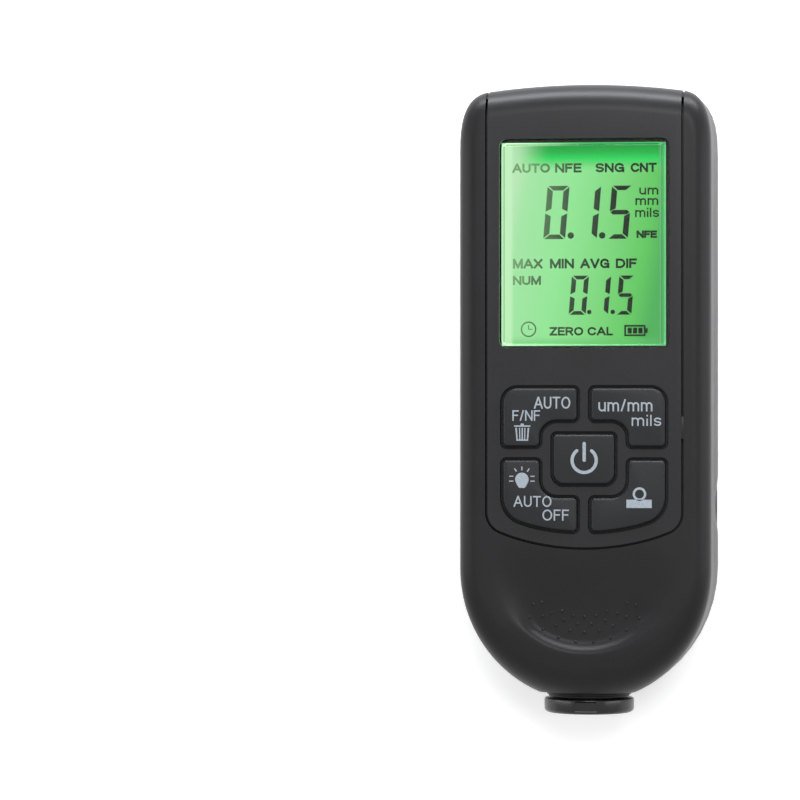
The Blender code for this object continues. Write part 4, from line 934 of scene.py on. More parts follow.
@dataclass
class BodyPlan:
    """The outline at the seam and the rounding of the edges."""

    half_width: float = 24.0
    top: float = 60.2
    top_arc: float = 138.0
    corner_width: float = 6.0
    corner_length: float = 13.0
    corner_power: float = 2.7
    least_width: float = 1.8
    least_length: float = 3.5
    end_centre: float = -31.8
    end_length: float = 25.7
    thickness: float = 27.0
    rim: float = 13.95
    side_edge: float = 3.5
    top_edge: float = 5.3
    end_edge: float = 9.5
    end_drop: float = 8.5
    draft: float = 0.15
    end_steps: int = 36
    side_steps: int = 10
    corner_steps: int = 16
    top_steps: int = 8

    def outline(self, side: float = 0.0, top: float = 0.0, end: float = 0.0) -> list[Vector]:
        """The body in plan, moved in at the sides and at each end.

        Args:
            side: How far the sides move in.
            top: How far the display end moves in.
            end: How far the probe end moves in.

        Returns:
            Counter-clockwise points.
        """
        half = self.half_width - side
        width = max(self.corner_width - side, self.least_width)
        length = max(self.corner_length - top, self.least_length)
        top_y = self.top - top
        corner_y = top_y - length
        right = []
        for turn in quarter(self.end_steps)[:-1]:
            y = self.end_centre - (self.end_length - end) * math.cos(turn)
            right.append(Vector((half * math.sin(turn), y)))
        for step in range(self.side_steps):
            share = step / self.side_steps
            right.append(Vector((half, self.end_centre + (corner_y - self.end_centre) * share)))
        for turn in quarter(self.corner_steps):
            across = max(math.cos(turn), 0.0) ** (2 / self.corner_power)
            along = math.sin(turn) ** (2 / self.corner_power)
            right.append(Vector((half - width * (1 - across), corner_y + length * along)))
        for step in range(1, self.top_steps + 1):
            right.append(Vector(((half - width) * (1 - step / self.top_steps), top_y)))
        for point in right:
            arched = min(max((point.y - corner_y) / length, 0.0), 1.0)
            point.y -= arched * point.x**2 / (2 * self.top_arc)
        return right + [Vector((-point.x, point.y)) for point in reversed(right[1:-1])]

    def normals(self) -> list[Vector]:
        """The outward direction at each point of the outline."""
        points = self.outline()
        found = []
        for index in range(len(points)):
            along = points[(index + 1) % len(points)] - points[index - 1]
            found.append(Vector((along.y, -along.x)).normalized())
        return found

    def level(self, inward: float, z: float) -> Ring:
        """The outline at one height, moved in all round."""
        return flat(self.outline(inward, inward, inward), z)

    def edge(self, turn: float, walls: Sequence[float] = (0.0, 0.0, 0.0), face_wall: float = 0.0) -> Ring:
        """The outline where the edge has turned from the side towards the face.

        Args:
            turn: The angle turned.
            walls: Wall thickness at the sides, the display end and the probe end.
            face_wall: Wall thickness under the face.

        Returns:
            A ring of points.
        """
        start = [wall + self.draft for wall in walls]
        end = [length + self.draft for length in (self.side_edge, self.top_edge, self.end_edge)]
        full = (self.side_edge, self.top_edge, self.end_drop)
        drops = [drop - wall for drop, wall in zip(full, walls)]
        share = 1 - math.cos(turn)
        ring = []
        for outer, inner, normal in zip(self.outline(*start), self.outline(*end), self.normals()):
            spot = outer.lerp(inner, share)
            top_share = max(normal.y, 0.0) ** 2
            end_share = max(-normal.y, 0.0) ** 2
            drop = drops[0] * (1 - top_share - end_share) + drops[1] * top_share + drops[2] * end_share
            ring.append((spot.x, spot.y, self.thickness - face_wall - drop * (1 - math.sin(turn))))
        return ring

    def front(self, low: float, steps: int = 14) -> list[Ring]:
        """Rings of the front form, from a height up to the face."""
        return [self.level(0.0, low)] + [self.edge(turn) for turn in quarter(steps)]

    def inside(self, walls: Sequence[float], face_wall: float, low: float, steps: int = 8) -> list[Ring]:
        """Rings of the front form less its walls."""
        rounding = [self.edge(turn, walls, face_wall) for turn in quarter(steps)]
        return [flat(self.outline(*walls), low), *rounding]


@dataclass
class Scoop:
    """The thumb scoop below the keys, with its raised dots."""

    centre: float = -30.5
    radius: float = 16.6
    depth: float = 1.2
    start: float = -26.5
    floor: float = -42.0
    rim: float = 2.1
    soft: float = 0.7
    open_start: float = 0.62
    open_side: float = 0.5
    side_rim: float = 4.0
    pitch: float = 0.45
    dot_centre: float = -33.04
    dot_flatten: float = 0.9375
    dot_radius: float = 0.32
    dot_height: float = 0.16
    dot_root: float = 0.15

    DOT_ROWS = (
        (8.26, (0.0, 15.2, 30.8)),
        (9.74, (7.8, 23.7, 39.8, 56.4)),
        (11.35, (0.0, 14.4, 28.4, 43.9, 59.1)),
        (13.4, (7.1, 21.6, 36.0, 51.2)),
    )

    def drop(self, x: float, y: float) -> float:
        """Depth under the face at one place.

        Args:
            x: Place across the gauge.
            y: Place along the gauge.

        Returns:
            The depth, with a soft edge where the scoop meets the face.
        """
        fall = min(max((self.start - y) / (self.start - self.floor), 0.0), 1.0)
        fall = fall**2 * (3 - 2 * fall)
        turn = abs(math.atan2(x, self.centre - y))
        side = min(max((turn - self.open_start) / self.open_side, 0.0), 1.0)
        rim = self.rim * (1 + (self.side_rim - 1) * side**2 * (3 - 2 * side))
        outward = (math.hypot(x, y - self.centre) - (self.radius - rim)) / rim
        if outward <= 0:
            return self.depth * fall
        wall = 1 - outward**2.5
        rounded_wall = (wall + math.sqrt(wall**2 + (self.soft / self.rim) ** 2)) / 2
        fade = min(max((1.35 - outward) / 0.35, 0.0), 1.0)
        return self.depth * fall * min(rounded_wall, 1.0) * fade**2 * (3 - 2 * fade)

    def dots(self) -> Iterable[Point]:
        """The places of the dots, on four arcs."""
        for radius, angles in self.DOT_ROWS:
            for angle in angles:
                turn = math.radians(angle)
                for side in {math.sin(turn), -math.sin(turn)}:
                    yield radius * side, self.dot_centre - self.dot_flatten * radius * math.cos(turn)


@dataclass
class Neck:
    """The stepped neck between the case and the probe's ring."""

    axis_z: float = 13.8
    root: float = -47.0
    end: float = -56.5
    radius: float = 7.75
    step: float = 0.35
    step_length: float = 0.37
    steps: int = 3
    soft: float = 0.08
    block: float = 8.4
    bore: float = 5.8
    groove: float = 6.9
    collar: Point = (-53.4, -52.0)

    def form(self) -> Solid:
        """The neck's outside, with softened steps."""
        shoulder = self.end + (self.steps + 1) * self.step_length
        stations = [(self.root, self.radius), (shoulder, self.radius)]
        for step in reversed(range(self.steps)):
            radius = self.radius + step * self.step
            near = self.end + step * self.step_length
            far = shoulder if step == self.steps - 1 else near + self.step_length
            stations += [(far, radius - self.soft), (far - self.soft, radius)]
            stations += [(near + self.soft, radius), (near, radius - self.soft)]
        return Solid().turned(stations, (0.0, self.axis_z), sides=96)

    def hole(self) -> Solid:
        """The bore for the probe's spigot, with the groove that holds its collar."""
        near, far = self.collar[0] - FIT_GAP, self.collar[1] + FIT_GAP
        profile = (
            (self.end - OVERRUN, self.bore),
            (near, self.bore),
            (near, self.groove),
            (far, self.groove),
            (far, self.bore),
            (self.root + OVERRUN, self.bore),
        )
        return Solid().turned(profile, (0.0, self.axis_z), sides=48)


@dataclass
class KeyPlan:
    """The outlines of the five keys' openings and of the panel round them."""

    panel_half: float = 18.3
    foot: float = -27.6
    foot_radius: float = 44.8
    panel_corner: float = 3.8
    groove: float = 0.45
    border: float = 2.4
    top: float = 3.0
    web: float = 1.5
    small: float = 1.3
    large: float = 3.3
    lower: float = 5.3
    inner: float = 2.7
    arm: float = -4.2
    upper_foot: float = -9.1
    power_half: float = 6.35
    power_foot: float = -16.2
    power_top_corner: float = 1.2
    power_foot_corner: float = 2.5
    foot_steps: int = 24

    @property
    def half(self) -> float:
        """Half the width over the outer keys."""
        return self.panel_half - self.border

    def arc(self, x: float, radius: float) -> float:
        """Height of an arc about the panel's own centre."""
        return self.foot + self.foot_radius - math.sqrt(radius**2 - x**2)

    def bowed(self, half: float, radius: float, corner: float, steps: int) -> list[Corner]:
        """Corners along an arc from side to side."""
        found = []
        for step in range(steps + 1):
            x = half * (2 * step / steps - 1)
            found.append((x, self.arc(x, radius), corner if step in (0, steps) else 0.0))
        return found

    def panel(self, far: float) -> list[Vector]:
        """The face panel in plan."""
        side = self.panel_half
        reach = side - self.panel_corner * 0.9
        foot = [(-side, self.arc(side, self.foot_radius), self.panel_corner)]
        for step in range(1, self.foot_steps):
            x = reach * (2 * step / self.foot_steps - 1)
            foot.append((x, self.arc(x, self.foot_radius), 0.0))
        foot.append((side, self.arc(side, self.foot_radius), self.panel_corner))
        return rounded([(-side, far, 0.0), *foot, (side, far, 0.0)], 12)

    def upper(self) -> list[Vector]:
        """The upper right opening."""
        side = self.web / 2
        arm_x = self.power_half + self.web
        return rounded(
            (
                (side, self.arm, self.small),
                (arm_x, self.arm, self.inner),
                (arm_x, self.upper_foot, self.small),
                (self.half, self.upper_foot, self.small),
                (self.half, self.top, self.large),
                (side, self.top, self.small),
            )
        )

    def lower_right(self) -> list[Vector]:
        """The lower right opening, whose foot follows the panel's."""
        side = self.web / 2
        arm_x = self.power_half + self.web
        arm_y = self.power_foot - self.web
        top = self.upper_foot - self.web
        radius = self.foot_radius - self.border
        corners = [(side, self.arc(side, radius), self.small)]
        near, far, steps = side + self.small * 1.3, self.half - self.lower * 1.05, 8
        for step in range(1, steps + 1):
            x = near + (far - near) * step / steps
            corners.append((x, self.arc(x, radius), 0.0))
        corners += [
            (self.half, self.arc(self.half, radius), self.lower),
            (self.half, top, self.small),
            (arm_x, top, self.small),
            (arm_x, arm_y, self.inner),
            (side, arm_y, self.small),
        ]
        return rounded(corners)

    def power(self) -> list[Vector]:
        """The middle opening."""
        half = self.power_half
        top = self.arm - self.web
        return rounded(
            (
                (-half, self.power_foot, self.power_foot_corner),
                (half, self.power_foot, self.power_foot_corner),
                (half, top, self.power_top_corner),
                (-half, top, self.power_top_corner),
            )
        )

    def keys(self) -> dict[str, list[Vector]]:
        """Each key's opening by its name."""
        return {
            "key_delete": mirrored(self.upper()),
            "key_units": self.upper(),
            "key_power": self.power(),
            "key_light": mirrored(self.lower_right()),
            "key_zero": self.lower_right(),
        }


@dataclass
class Case:
    """Both housings, the face panel and the battery cover."""

    maker: Maker
    plan: BodyPlan = field(default_factory=BodyPlan)
    scoop: Scoop = field(default_factory=Scoop)
    neck: Neck = field(default_factory=Neck)
    keys: KeyPlan = field(default_factory=KeyPlan)
    side_wall: float = 2.0
    end_wall: float = 2.6
    panel_depth: float = 1.6
    face_wall: float = 3.2
    ledge: float = 25.1
    shelf: float = 21.8
    window: Box = (-16.1, 16.1, 10.0, 49.6)
    window_corner: float = 1.6
    pane_margin: float = 1.1
    panel_end: float = 62.2
    panel_foot: float = 12.0
    bed_foot: float = 13.0
    panel_edge: float = 0.18
    groove_depth: float = 0.3
    rib_start: float = 57.3
    rib_gap: Point = (0.03, 0.02)
    tab: Box = (-0.05, 0.5, -7.1, -2.9)
    tab_corner: float = 0.2
    tab_heights: Point = (25.3, 26.97)

    def build(self) -> None:
        """Make and dress every piece of the case."""
        self.front_housing()
        self.face_panel()
        self.scoop_dots()
        self.groove_tab()
        self.groove_ribs()
        self.maker.refine("rear_housing", CASE)
        self.maker.refine("battery_cover", CASE)
        for number in range(1, 5):
            self.maker.refine(f"housing_screw_{number}", STEEL)

    def pane_outline(self, margin: float) -> list[Vector]:
        """The window's outline, moved outwards."""
        left, right, low, high = self.window
        grown_box = (left - margin, right + margin, low - margin, high + margin)
        return rectangle(grown_box, self.window_corner)

    def gridded_form(self) -> Solid:
        """The front form with a fine grid in its face, pressed down by the scoop."""
        solid = Solid().loft(self.plan.front(self.plan.rim))
        shape = solid.shape
        top = self.plan.thickness
        reach = self.scoop.radius + self.scoop.rim * 0.5
        count = int(reach / self.scoop.pitch)
        columns = (step * self.scoop.pitch for step in range(-count, count + 1))
        cuts = [(Vector((x, 0, 0)), Vector((1, 0, 0))) for x in columns]
        y = self.scoop.start + self.scoop.pitch
        while y > self.scoop.centre - reach:
            cuts.append((Vector((0, y, 0)), Vector((0, 1, 0))))
            y -= self.scoop.pitch
        for place, normal in cuts:
            faces = [face for face in shape.faces if all(vert.co.z > top - 1e-4 for vert in face.verts)]
            edges = {edge for face in faces for edge in face.edges}
            verts = {vert for face in faces for vert in face.verts}
            geometry = [*verts, *edges, *faces]
            bmesh.ops.bisect_plane(shape, geom=geometry, plane_co=place, plane_no=normal, dist=1e-5)
        for vert in shape.verts:
            if vert.co.z > top - 1e-4:
                vert.co.z -= self.scoop.drop(vert.co.x, vert.co.y)
        return solid

    def front_housing(self) -> None:
        """The front half of the case, with the shelf under the panel."""
        maker = self.maker
        plan = self.plan
        housing = maker.raw("front_shell", self.gridded_form())
        neck_foot = self.neck.end + self.neck.steps * self.neck.step_length
        side, near, far, low, high = 60, -90, 120, -2, 40  # well clear of the case
        maker.cut(housing, Solid().block(-side, side, near, neck_foot, low, high))
        maker.add(housing, self.neck.form())
        maker.cut(housing, Solid().block(-side, side, -far, far, low, plan.rim))
        walls = (self.side_wall, self.face_wall, self.end_wall)
        core = maker.raw("core", Solid().loft(plan.inside(walls, self.face_wall, plan.rim - 2 * OVERRUN)))
        block = [(y, self.neck.block) for y in (self.neck.end - OVERRUN, self.neck.root)]
        maker.cut(core, Solid().turned(block, (0.0, self.neck.axis_z), sides=32))
        maker.cut(housing, core)
        depth = self.panel_depth + FIT_GAP
        bed = grown(self.keys.panel(self.panel_end), self.keys.groove)
        recess = maker.raw("recess", Solid().prism(bed, self.bed_foot, BEYOND))
        maker.cut(recess, Solid().loft(plan.inside((depth,) * 3, depth, plan.rim - 2 * OVERRUN, 12)))
        maker.cut(housing, recess)
        for hole in (self.pane_outline(self.pane_margin + FIT_GAP), self.key_field()):
            maker.cut(housing, Solid().prism(hole, self.shelf, BEYOND))
        maker.cut(housing, self.neck.hole())
        maker.smooth(housing)
        maker.dress(housing, CASE, "case", "case_plastic", ["front_housing"])

    def key_field(self) -> list[Vector]:
        """The hole in the shelf behind the keys."""
        room = 2 * FIT_GAP
        half = self.keys.half + room
        radius = self.keys.foot_radius - self.keys.border + room
        foot = self.keys.bowed(half, radius, self.keys.lower, 6)
        top = self.keys.top + room
        return rounded([*foot, (half, top, self.keys.large), (-half, top, self.keys.large)])

    def face_panel(self) -> None:
        """The plate round the display and the keys, wrapped over the top end."""
        maker = self.maker
        plan = self.plan
        panel = maker.raw("face_plate", Solid().loft(plan.front(plan.rim)))
        depth = self.panel_depth
        maker.cut(panel, Solid().loft(plan.inside((depth,) * 3, depth, plan.rim - 2 * OVERRUN, 12)))
        maker.keep(panel, Solid().prism(self.keys.panel(self.panel_end), self.panel_foot, BEYOND))
        for opening in (self.pane_outline(0.0), *self.keys.keys().values()):
            maker.cut(panel, Solid().prism(opening, self.ledge, BEYOND))
        bevel = panel.modifiers.new("soft edges", "BEVEL")
        bevel.width = self.panel_edge * MM
        bevel.segments = 2
        bevel.limit_method = "ANGLE"
        bevel.angle_limit = math.radians(50)
        bevel.use_clamp_overlap = True
        maker.smooth(panel)
        maker.dress(panel, PANEL, "case", "panel_plastic", ["face_panel"])

    def scoop_dots(self) -> None:
        """Raised dots in the scoop that the thumb feels."""
        solid = Solid()
        for x, y in self.scoop.dots():
            surface = self.plan.thickness - self.scoop.drop(x, y)
            low = surface - self.scoop.dot_root
            profile = [(low, self.scoop.dot_radius)]
            for turn in quarter(4)[:-1]:
                height = self.scoop.dot_height * math.sin(turn)
                profile.append((surface + height, self.scoop.dot_radius * math.cos(turn)))
            profile.append((surface + self.scoop.dot_height, 0.03))
            solid.turned(profile, (x, y), upright=True, sides=16)
        piece = self.maker.raw("scoop_dots", solid, 60.0)
        self.maker.dress(piece, CASE, "case", "case_plastic")

    def groove_tab(self) -> None:
        """The short bridge across the groove at the panel's right side."""
        side, radius = self.keys.panel_half, self.tab_corner
        near, far, foot, top = self.tab
        left, right = side + near, side + far
        corners = ((left, foot, 0.0), (right, foot, radius), (right, top, radius), (left, top, 0.0))
        outline = rounded(corners, 3)
        piece = self.maker.raw("groove_tab", Solid().loft(softened(outline, *self.tab_heights, 0.08, 2)))
        self.maker.dress(piece, PANEL, "case", "panel_plastic")

    def groove_ribs(self) -> None:
        """The housing's ribs at the bottom of the grooves, over the top end."""
        depth = self.groove_depth
        low = self.plan.rim - 2 * OVERRUN
        ribs = self.maker.raw("groove_ribs", Solid().loft(self.plan.inside((depth,) * 3, depth, low, 12)))
        near = self.keys.panel_half + self.rib_gap[0]
        far = self.keys.panel_half + self.keys.groove - self.rib_gap[1]
        strips = Solid()
        for left, right in ((near, far), (-far, -near)):
            strips.block(left, right, self.rib_start, 62.0, self.plan.rim + 0.1, BEYOND)
        self.maker.keep(ribs, strips)
        self.maker.smooth(ribs)
        # The ribs take the darker black plastic, not the housing's own: painted shade at the bottom of the
        # grooves.
        self.maker.dress(ribs, BLACK, "case", "case_plastic")


def bow(centre: Point, radii: Point, start: float, end: float, steps: int = 12) -> tuple[Point, ...]:
    """Points along a part of an ellipse.

    Args:
        centre: Its middle.
        radii: Its half width and half height.
        start: First angle, in degrees from +X.
        end: Last angle.
        steps: Facets.

    Returns:
        The points.
    """
    (x, y), (wide, tall) = centre, radii
    turns = [math.radians(start + (end - start) * step / steps) for step in range(steps + 1)]
    return tuple((x + wide * math.cos(turn), y + tall * math.sin(turn)) for turn in turns)


def hook(width: float, height: float) -> tuple[Point, ...]:
    """The double bow of an S."""
    half, quarter_height = width / 2, height / 4
    upper = bow((half, height - quarter_height), (half, quarter_height), 25, 250)
    lower = bow((half, quarter_height), (half, quarter_height), 70, -155)
    return upper + lower


def arch(left: float, width: float, top: float) -> tuple[Point, ...]:
    """One arch of an m, with its leg."""
    return bow((left + width / 2, top - 0.24), (width / 2, 0.24), 180, 0) + ((left + width, 0.0),)


@dataclass(frozen=True)
class Glyph:
    """A letter by the middle lines of its strokes, for a cap height of 1."""

    width: float
    strokes: tuple[tuple[Point, ...], ...] = ()


def drawn(width: float, *strokes: tuple[Point, ...]) -> Glyph:
    """A letter from its strokes."""
    return Glyph(width, strokes)


SMALL = 0.72  # height of the small letters
STEM = ((0, 0), (0, 1))
GLYPHS = {
    " ": drawn(0.12),
    "/": drawn(0.30, ((0, 0), (0.30, 1))),
    "A": drawn(0.82, ((0, 0), (0.39, 1)), ((0.82, 0), (0.43, 1)), ((0.16, 0.33), (0.66, 0.33))),
    "C": drawn(0.76, bow((0.41, 0.5), (0.41, 0.5), 38, 322, 20)),
    "D": drawn(0.72, STEM, ((0, 1), (0.30, 1)) + bow((0.30, 0.5), (0.42, 0.5), 90, -90) + ((0, 0),)),
    "E": drawn(0.58, STEM, ((0, 1), (0.58, 1)), ((0, 0.52), (0.53, 0.52)), ((0, 0), (0.58, 0))),
    "F": drawn(0.55, STEM, ((0, 1), (0.55, 1)), ((0, 0.52), (0.48, 0.52))),
    "G": drawn(
        0.80,
        bow((0.41, 0.5), (0.41, 0.5), 38, 335, 20),
        ((0.46, 0.46), (0.80, 0.46)),
        ((0.80, 0.46), (0.80, 0)),
    ),
    "I": drawn(0.0, STEM),
    "L": drawn(0.52, STEM, ((0, 0), (0.52, 0))),
    "M": drawn(0.84, STEM, ((0.03, 1), (0.42, 0.04)), ((0.81, 1), (0.42, 0.04)), ((0.84, 0), (0.84, 1))),
    "N": drawn(0.70, STEM, ((0.03, 1), (0.67, 0)), ((0.70, 0), (0.70, 1))),
    "O": drawn(0.84, bow((0.42, 0.5), (0.42, 0.5), 0, 360, 24)),
    "R": drawn(
        0.68,
        STEM,
        ((0, 1), (0.38, 1)) + bow((0.38, 0.74), (0.28, 0.26), 90, -90) + ((0, 0.48),),
        ((0.36, 0.48), (0.66, 0)),
    ),
    "S": drawn(0.66, hook(0.66, 1.0)),
    "T": drawn(0.70, ((0, 1), (0.70, 1)), ((0.35, 1), (0.35, 0))),
    "U": drawn(0.68, ((0, 1),) + bow((0.34, 0.34), (0.34, 0.34), 180, 360) + ((0.68, 1),)),
    "V": drawn(0.78, ((0, 1), (0.37, 0)), ((0.78, 1), (0.41, 0))),
    "X": drawn(0.72, ((0, 0), (0.72, 1)), ((0, 1), (0.72, 0))),
    "Z": drawn(0.66, ((0, 1), (0.66, 1)), ((0.64, 1), (0.02, 0)), ((0, 0), (0.66, 0))),
    "i": drawn(0.0, ((0, 0), (0, 0.62)), ((0, 0.98), (0, 1))),
    "l": drawn(0.0, STEM),
    "m": drawn(0.86, ((0, 0), (0, SMALL)), arch(0.0, 0.43, SMALL), arch(0.43, 0.43, SMALL)),
    "s": drawn(0.46, hook(0.46, SMALL)),
    "u": drawn(0.50, ((0, SMALL),) + bow((0.25, 0.26), (0.25, 0.26), 180, 360), ((0.50, 0), (0.50, SMALL))),
}


@dataclass
class Lettering:
    """Flat lettering and signs, added to one solid at one height."""

    solid: Solid
    z: float
    ink: float = 0.02
    under: float = 0.019  # ink that ends just below what crosses it
    rise: float = 0.0006  # what each next stroke of a word stands higher
    space: float = 0.29

    def word(self, text: str, box: Box, weight: float = 0.13) -> None:
        """Add a word that fills a box.

        Args:
            text: The letters.
            box: Left, right, foot and top.
            weight: Width of the strokes, as a share of the height.
        """
        glyphs = [GLYPHS[letter] for letter in text]
        left, right, foot, top = box
        tallest = max(y for glyph in glyphs for stroke in glyph.strokes for _, y in stroke)
        stroke = weight * (top - foot) / tallest
        wide = (right - left - stroke) / (sum(glyph.width + self.space for glyph in glyphs) - self.space)
        tall = (top - foot - stroke) / tallest
        across = left + stroke / 2
        count = 0
        for glyph in glyphs:
            for line in glyph.strokes:
                points = [Vector((across + x * wide, foot + stroke / 2 + y * tall)) for x, y in line]
                self.line(points, stroke, self.ink + self.rise * count)
                count += 1
            across += (glyph.width + self.space) * wide

    def line(self, points: Sequence[Vector], stroke: float, thick: float) -> None:
        """Add a stroke along points, with square ends.

        Args:
            points: The stroke's middle line; the same point at both ends closes it.
            stroke: Its width.
            thick: How thick the ink stands.
        """
        closed = (points[0] - points[-1]).length < stroke * 0.1
        path = list(points[:-1]) if closed else list(points)
        if not closed:
            path[0] = path[0] + (points[0] - points[1]).normalized() * stroke / 2
            path[-1] = path[-1] + (points[-1] - points[-2]).normalized() * stroke / 2
        rings = []
        for index, point in enumerate(path):
            before = path[index - 1] if closed or index else point
            after = path[(index + 1) % len(path)] if closed or index < len(path) - 1 else point
            along = (after - before).normalized()
            aside = Vector((along.y, -along.x)) * stroke / 2
            sides = (point - aside, point + aside)
            rings.append(flat(sides, self.z) + flat(reversed(sides), self.z + thick))
        self.solid.loft(rings, closed)

    def plate(self, outline: Iterable[Point | Vector], thick: float | None = None) -> None:
        """Add a flat shape."""
        self.solid.prism([Vector(point) for point in outline], self.z, self.z + (thick or self.ink))

    def bar(self, left: float, right: float, foot: float, top: float, thick: float | None = None) -> None:
        """Add a rectangle."""
        self.plate(rectangle((left, right, foot, top)), thick)

    def dot(self, x: float, y: float, radius: float) -> None:
        """Add a round dot."""
        self.solid.turned(((self.z, radius), (self.z + self.ink, radius)), (x, y), True, sides=24)

    def arc(self, centre: Point, radius: float, stroke: float, start: float = 0, end: float = 360) -> None:
        """Add a ring, or a part of one with round ends.

        Args:
            centre: Its middle.
            radius: Radius of the stroke's middle.
            stroke: Width of the stroke.
            start: First angle, in degrees from +X.
            end: Last angle; a full turn from the first closes the ring.
        """
        full = abs(end - start) >= 360
        steps = 48
        rings = []
        for step in range(steps if full else steps + 1):
            turn = math.radians(start + (end - start) * step / steps)
            across, along = math.cos(turn), math.sin(turn)
            ring = []
            for reach, level in ((-0.5, 0), (0.5, 0), (0.5, 1), (-0.5, 1)):
                size = radius + reach * stroke
                ring.append((centre[0] + size * across, centre[1] + size * along, self.z + level * self.ink))
            rings.append(ring)
        self.solid.loft(rings, closed=full)
        if not full:
            for angle in (start, end):
                turn = math.radians(angle)
                middle = (centre[0] + radius * math.cos(turn), centre[1] + radius * math.sin(turn))
                profile = ((self.z, stroke / 2), (self.z + self.ink * 0.98, stroke / 2))
                self.solid.turned(profile, middle, True, sides=16)


def body_of(key: str) -> str:
    """The body that a key belongs to."""
    return f"{key.removeprefix('key_')}_key"


@dataclass
class Keypad:
    """The five keys with their legends, and the rubber mat under them."""

    maker: Maker
    plan: KeyPlan = field(default_factory=KeyPlan)
    gap: float = 0.6
    top: float = 27.365
    flange_foot: float = 24.3
    flange_top: float = 25.1
    flange: float = 0.3
    edge: float = 0.45
    plunger_foot: float = 20.8
    plunger_radius: float = 2.2
    print_gap: float = 0.002
    mat_box: Box = (-16.6, 16.6, -25.5, 3.7)
    mat_corner: float = 3.0
    mat_heights: Point = (17.5, 18.25)
    mat_edge: float = 0.3
    dome_foot: float = 18.27
    dome_height: float = 2.2
    dome_radius: float = 3.1
    dome_taper: float = 1.0

    SPOTS = {
        "key_delete": (-10.2, -1.0),
        "key_units": (10.2, -1.0),
        "key_power": (0.0, -10.95),
        "key_light": (-10.2, -19.7),
        "key_zero": (10.2, -19.7),
    }
    WORDS = {
        "key_delete": (("AUTO", (-9.44, -2.55, -1.44, 0.81)), ("F/NF", (-13.52, -8.28, -3.73, -1.74))),
        "key_units": (("um/mm", (2.75, 12.92, -1.95, 0.34)), ("mils", (9.02, 14.57, -4.68, -2.60))),
        "key_light": (("AUTO", (-13.30, -6.11, -19.98, -17.92)), ("OFF", (-7.83, -2.81, -22.55, -20.47))),
    }

    def build(self) -> None:
        """Make and dress the keys, legends and mat."""
        for name, opening in self.plan.keys().items():
            self.key(name, opening)
        self.legends()
        self.mat()

    def key(self, name: str, opening: Sequence[Vector]) -> None:
        """One key cap with its flange and plunger.

        Args:
            name: The CAD node that it stands for.
            opening: The panel's opening.
        """
        cap = grown(opening, -self.gap)
        rim = grown(opening, self.flange)
        spot = Vector(self.SPOTS[name])
        plunger = [spot + (point - spot).normalized() * self.plunger_radius for point in cap]
        rings = [flat(plunger, self.plunger_foot), flat(plunger, self.flange_foot)]
        rings += [flat(rim, self.flange_foot), flat(rim, self.flange_top)]
        rings += softened(cap, self.flange_top, self.top, self.edge, 6)
        piece = self.maker.raw(name.replace("key_", "cap_"), Solid().loft(rings))
        self.maker.dress(piece, KEYS, body_of(name), "key_plastic", [name])

    def legends(self) -> None:
        """Printed words and signs on the keys."""
        signs = {
            "key_delete": self.bin_sign,
            "key_power": self.power_sign,
            "key_light": self.bulb_sign,
            "key_zero": self.zero_sign,
        }
        for name in self.SPOTS:
            pen = Lettering(Solid(), self.top + self.print_gap)
            for text, box in self.WORDS.get(name, ()):
                pen.word(text, box)
            if name in signs:
                signs[name](pen)
            piece = self.maker.raw(name.replace("key_", "legend_"), pen.solid)
            self.maker.dress(piece, LEGEND, body_of(name), "key_plastic")

    @staticmethod
    def bin_sign(pen: Lettering) -> None:
        """The sign for deleting: a bin with a lid."""
        pen.bar(-13.2, -10.1, -4.85, -4.6)
        pen.plate(((-12.0, -4.6), (-11.3, -4.6), (-11.4, -4.25), (-11.9, -4.25)))
        foot, top = -7.5, -5.05
        for low_left, low_right, high_left, high_right in (
            (-12.75, -12.5, -12.98, -12.66),
            (-10.80, -10.55, -10.64, -10.32),
            (-12.2, -12.0, -12.27, -12.05),
            (-11.78, -11.52, -11.78, -11.52),
            (-11.3, -11.1, -11.25, -11.03),
        ):
            pen.plate(((low_left, foot), (low_right, foot), (high_right, top), (high_left, top)))
        pen.bar(-12.75, -10.55, foot, foot + 0.25, pen.under)

    @staticmethod
    def power_sign(pen: Lettering) -> None:
        """The sign for power: an open ring with a bar."""
        pen.arc((0.06, -11.18), 2.28, 0.62, 128, 412)
        pen.plate(rectangle((-0.25, 0.37, -11.45, -7.7), 0.3, 5))

    def bulb_sign(self, pen: Lettering) -> None:
        """The sign for the light: a bulb with rays."""
        x, y, radius = -11.72, -14.8, 1.28
        turns = [math.radians(step * 10) for step in range(-7, 26)]
        outline = [(x + radius * math.cos(turn), y + radius * math.sin(turn)) for turn in turns]
        outline = [point for point in outline if point[1] > -15.55]
        pen.plate(outline + [(-12.42, -16.2), (-12.2, -16.4), (-11.24, -16.4), (-11.02, -16.2)])
        for angle, near, far in ((90, 1.65, 2.4), (55, 1.75, 2.45), (125, 1.75, 2.45)):
            self.ray(pen, (x, -14.75), angle, (near, far))
        for side in (-1, 1):
            left, right = sorted((x + side * 1.62, x + side * 2.4))
            for height in (-14.2, -15.12):
                pen.bar(left, right, height - 0.1, height + 0.1)

    @staticmethod
    def ray(pen: Lettering, centre: Point, angle: float, reach: Point) -> None:
        """Add one ray of the light sign.

        Args:
            pen: The lettering.
            centre: The middle of all rays.
            angle: Where it points, in degrees from +X.
            reach: Where it starts and ends along that line.
        """
        turn = math.radians(angle)
        along = Vector((math.cos(turn), math.sin(turn)))
        aside = Vector((-along.y, along.x)) * 0.11
        near, far = (Vector(centre) + along * distance for distance in reach)
        pen.plate((near - aside, far - aside, far + aside, near + aside))

    @staticmethod
    def zero_sign(pen: Lettering) -> None:
        """The sign for zero: a small ring over a bar."""
        pen.arc((10.48, -17.5), 1.06, 0.43)
        pen.bar(8.02, 12.79, -20.12, -18.56)

